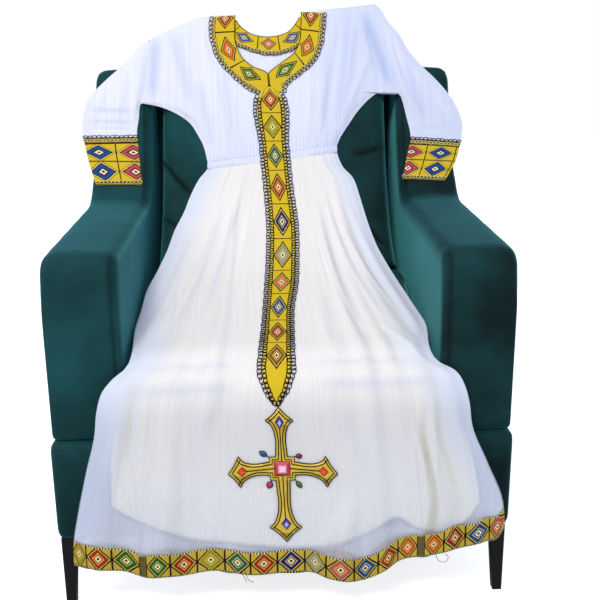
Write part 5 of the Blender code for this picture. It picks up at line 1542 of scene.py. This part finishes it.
def gem(name, across, down, half_x, half_s, height, material, turn=0.0):
    """A square-cut gem: a girdle, a flat table and a painted highlight in its middle, by the attribute "glint"."""
    bm = bmesh.new()
    bmesh.ops.create_cone(bm, cap_ends=True, segments=4, radius1=1.0, radius2=0.60, depth=1.0,
                          matrix=Matrix.Rotation(math.radians(turn), 4, "Z"))
    glint = bm.verts.layers.float.new("glint")
    table_face = max(bm.faces, key=lambda face: face.calc_center_median().z)
    for vert in table_face.verts:
        vert[glint] = 0.05
    bmesh.ops.inset_individual(bm, faces=[table_face], thickness=0.22, use_even_offset=True)
    for vert in table_face.verts:
        vert[glint] = 1.0
    middle_x, middle_s = cross_place(np.array([(across, down)]))[0]
    for vert in bm.verts:
        vert.co = (middle_x + vert.co.x * half_x, -(middle_s + vert.co.y * half_s),
                   TRIM_LIFT + 0.4 * MM + (vert.co.z + 0.5) * height)
    bmesh.ops.recalc_face_normals(bm, faces=bm.faces)
    mesh = bpy.data.meshes.new(name)
    bm.to_mesh(mesh)
    bm.free()
    lay_mesh(mesh)
    piece = finish_piece(name, mesh, material)
    mesh.shade_flat()
    return piece


def glass(name, hex_colour, hex_glint):
    """Opaque coloured glass with a painted highlight, paler in its middle by the attribute "glint"."""
    made, tree, shader = surface(name, hex_colour, 0.3)
    shader.inputs["Coat Weight"].default_value = 0.3
    shader.inputs["Coat Roughness"].default_value = 0.05
    glint = add_node(tree, "ShaderNodeAttribute", {"attribute_name": "glint"}).outputs["Fac"]
    colour = blend_of(tree, glint, tint(hex_colour), tint(hex_glint))
    tree.links.new(colour, shader.inputs["Base Color"])
    return made


blue_glass = glass("blue_glass", GEM_BLUE, "#b4baf6")
red_glass = glass("orange_red_glass", GEM_RED, "#e8572e")
for k, (across, down, half_x, half_s, height, colour) in enumerate(GEMS):
    gem(f"gem_{k + 1}", across, down, half_x, half_s, height, blue_glass if colour == GEM_BLUE else red_glass)
rims = []
for across, down, half_x, half_s, height, colour in GEMS:
    corners = [(across + half_x, down), (across, down + half_s), (across - half_x, down), (across, down - half_s)]
    rims.append((raised(corners, CORD_LIFT - 0.3 * MM), True))
GEM_HALF = 0.0135
corners = [(GEM_HALF, GEM_HALF), (-GEM_HALF, GEM_HALF), (-GEM_HALF, -GEM_HALF), (GEM_HALF, -GEM_HALF)]
rims.append((raised(corners, CORD_LIFT - 0.3 * MM), True))
cord_lines("black_gem_rims", rims, 0.6 * MM, black_thread)
gem("gem_middle", 0.0, 0.0, 0.0190, 0.0190, 0.0035, glass("pink_glass", "#c4003e", "#ffd6ea"), 45.0)

# across and down of a bud's stem foot and of its tip, half width, colour
BUDS = (
    (-0.020, -0.020, -0.037, -0.032, 0.0045, "#12608a"),
    (0.020, -0.021, 0.035, -0.024, 0.0042, "#8e1c34"),
    (-0.018, 0.020, -0.026, 0.036, 0.0052, "#b83450"),
    (0.020, 0.020, 0.031, 0.035, 0.0044, "#4a7a1e"),
)
stems = []
for k, (foot_x, foot_s, tip_x, tip_s, half, colour) in enumerate(BUDS):
    run = np.array((tip_x - foot_x, tip_s - foot_s))
    side_way = np.array((-run[1], run[0])) / np.linalg.norm(run) * half
    base = np.array((foot_x, foot_s))
    leaf = [base + run * (0.25 + 0.75 * t) + side_way * math.sin(math.pi * t) ** 0.8 * sign
            for sign, ts in ((1, np.linspace(0, 1, 9)), (-1, np.linspace(1, 0, 9)[1:-1])) for t in ts]
    stems.append((raised([base, base + run * 0.3], PANEL_LIFT + 1.2 * MM), False))
    stems.append((raised(leaf, PANEL_LIFT + 1.2 * MM), True))
    bm = bmesh.new()
    places = cross_place(np.array(leaf))
    face = bm.faces.new([bm.verts.new((x, -s, PANEL_LIFT + 0.6 * MM)) for x, s in places])
    raised_face = bmesh.ops.extrude_face_region(bm, geom=[face])
    for vert in [v for v in raised_face["geom"] if isinstance(v, bmesh.types.BMVert)]:
        vert.co.z += 1.0 * MM
    bmesh.ops.recalc_face_normals(bm, faces=bm.faces)
    mesh = bpy.data.meshes.new("bud")
    bm.to_mesh(mesh)
    bm.free()
    lay_mesh(mesh)
    bud_thread, tree, shader = surface(f"bud_thread_{k + 1}", colour, 0.55)
    finish_piece(f"leaf_bud_{k + 1}", mesh, bud_thread)
cord_lines("black_bud_cord", stems, 0.7 * MM, black_thread)

low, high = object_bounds()
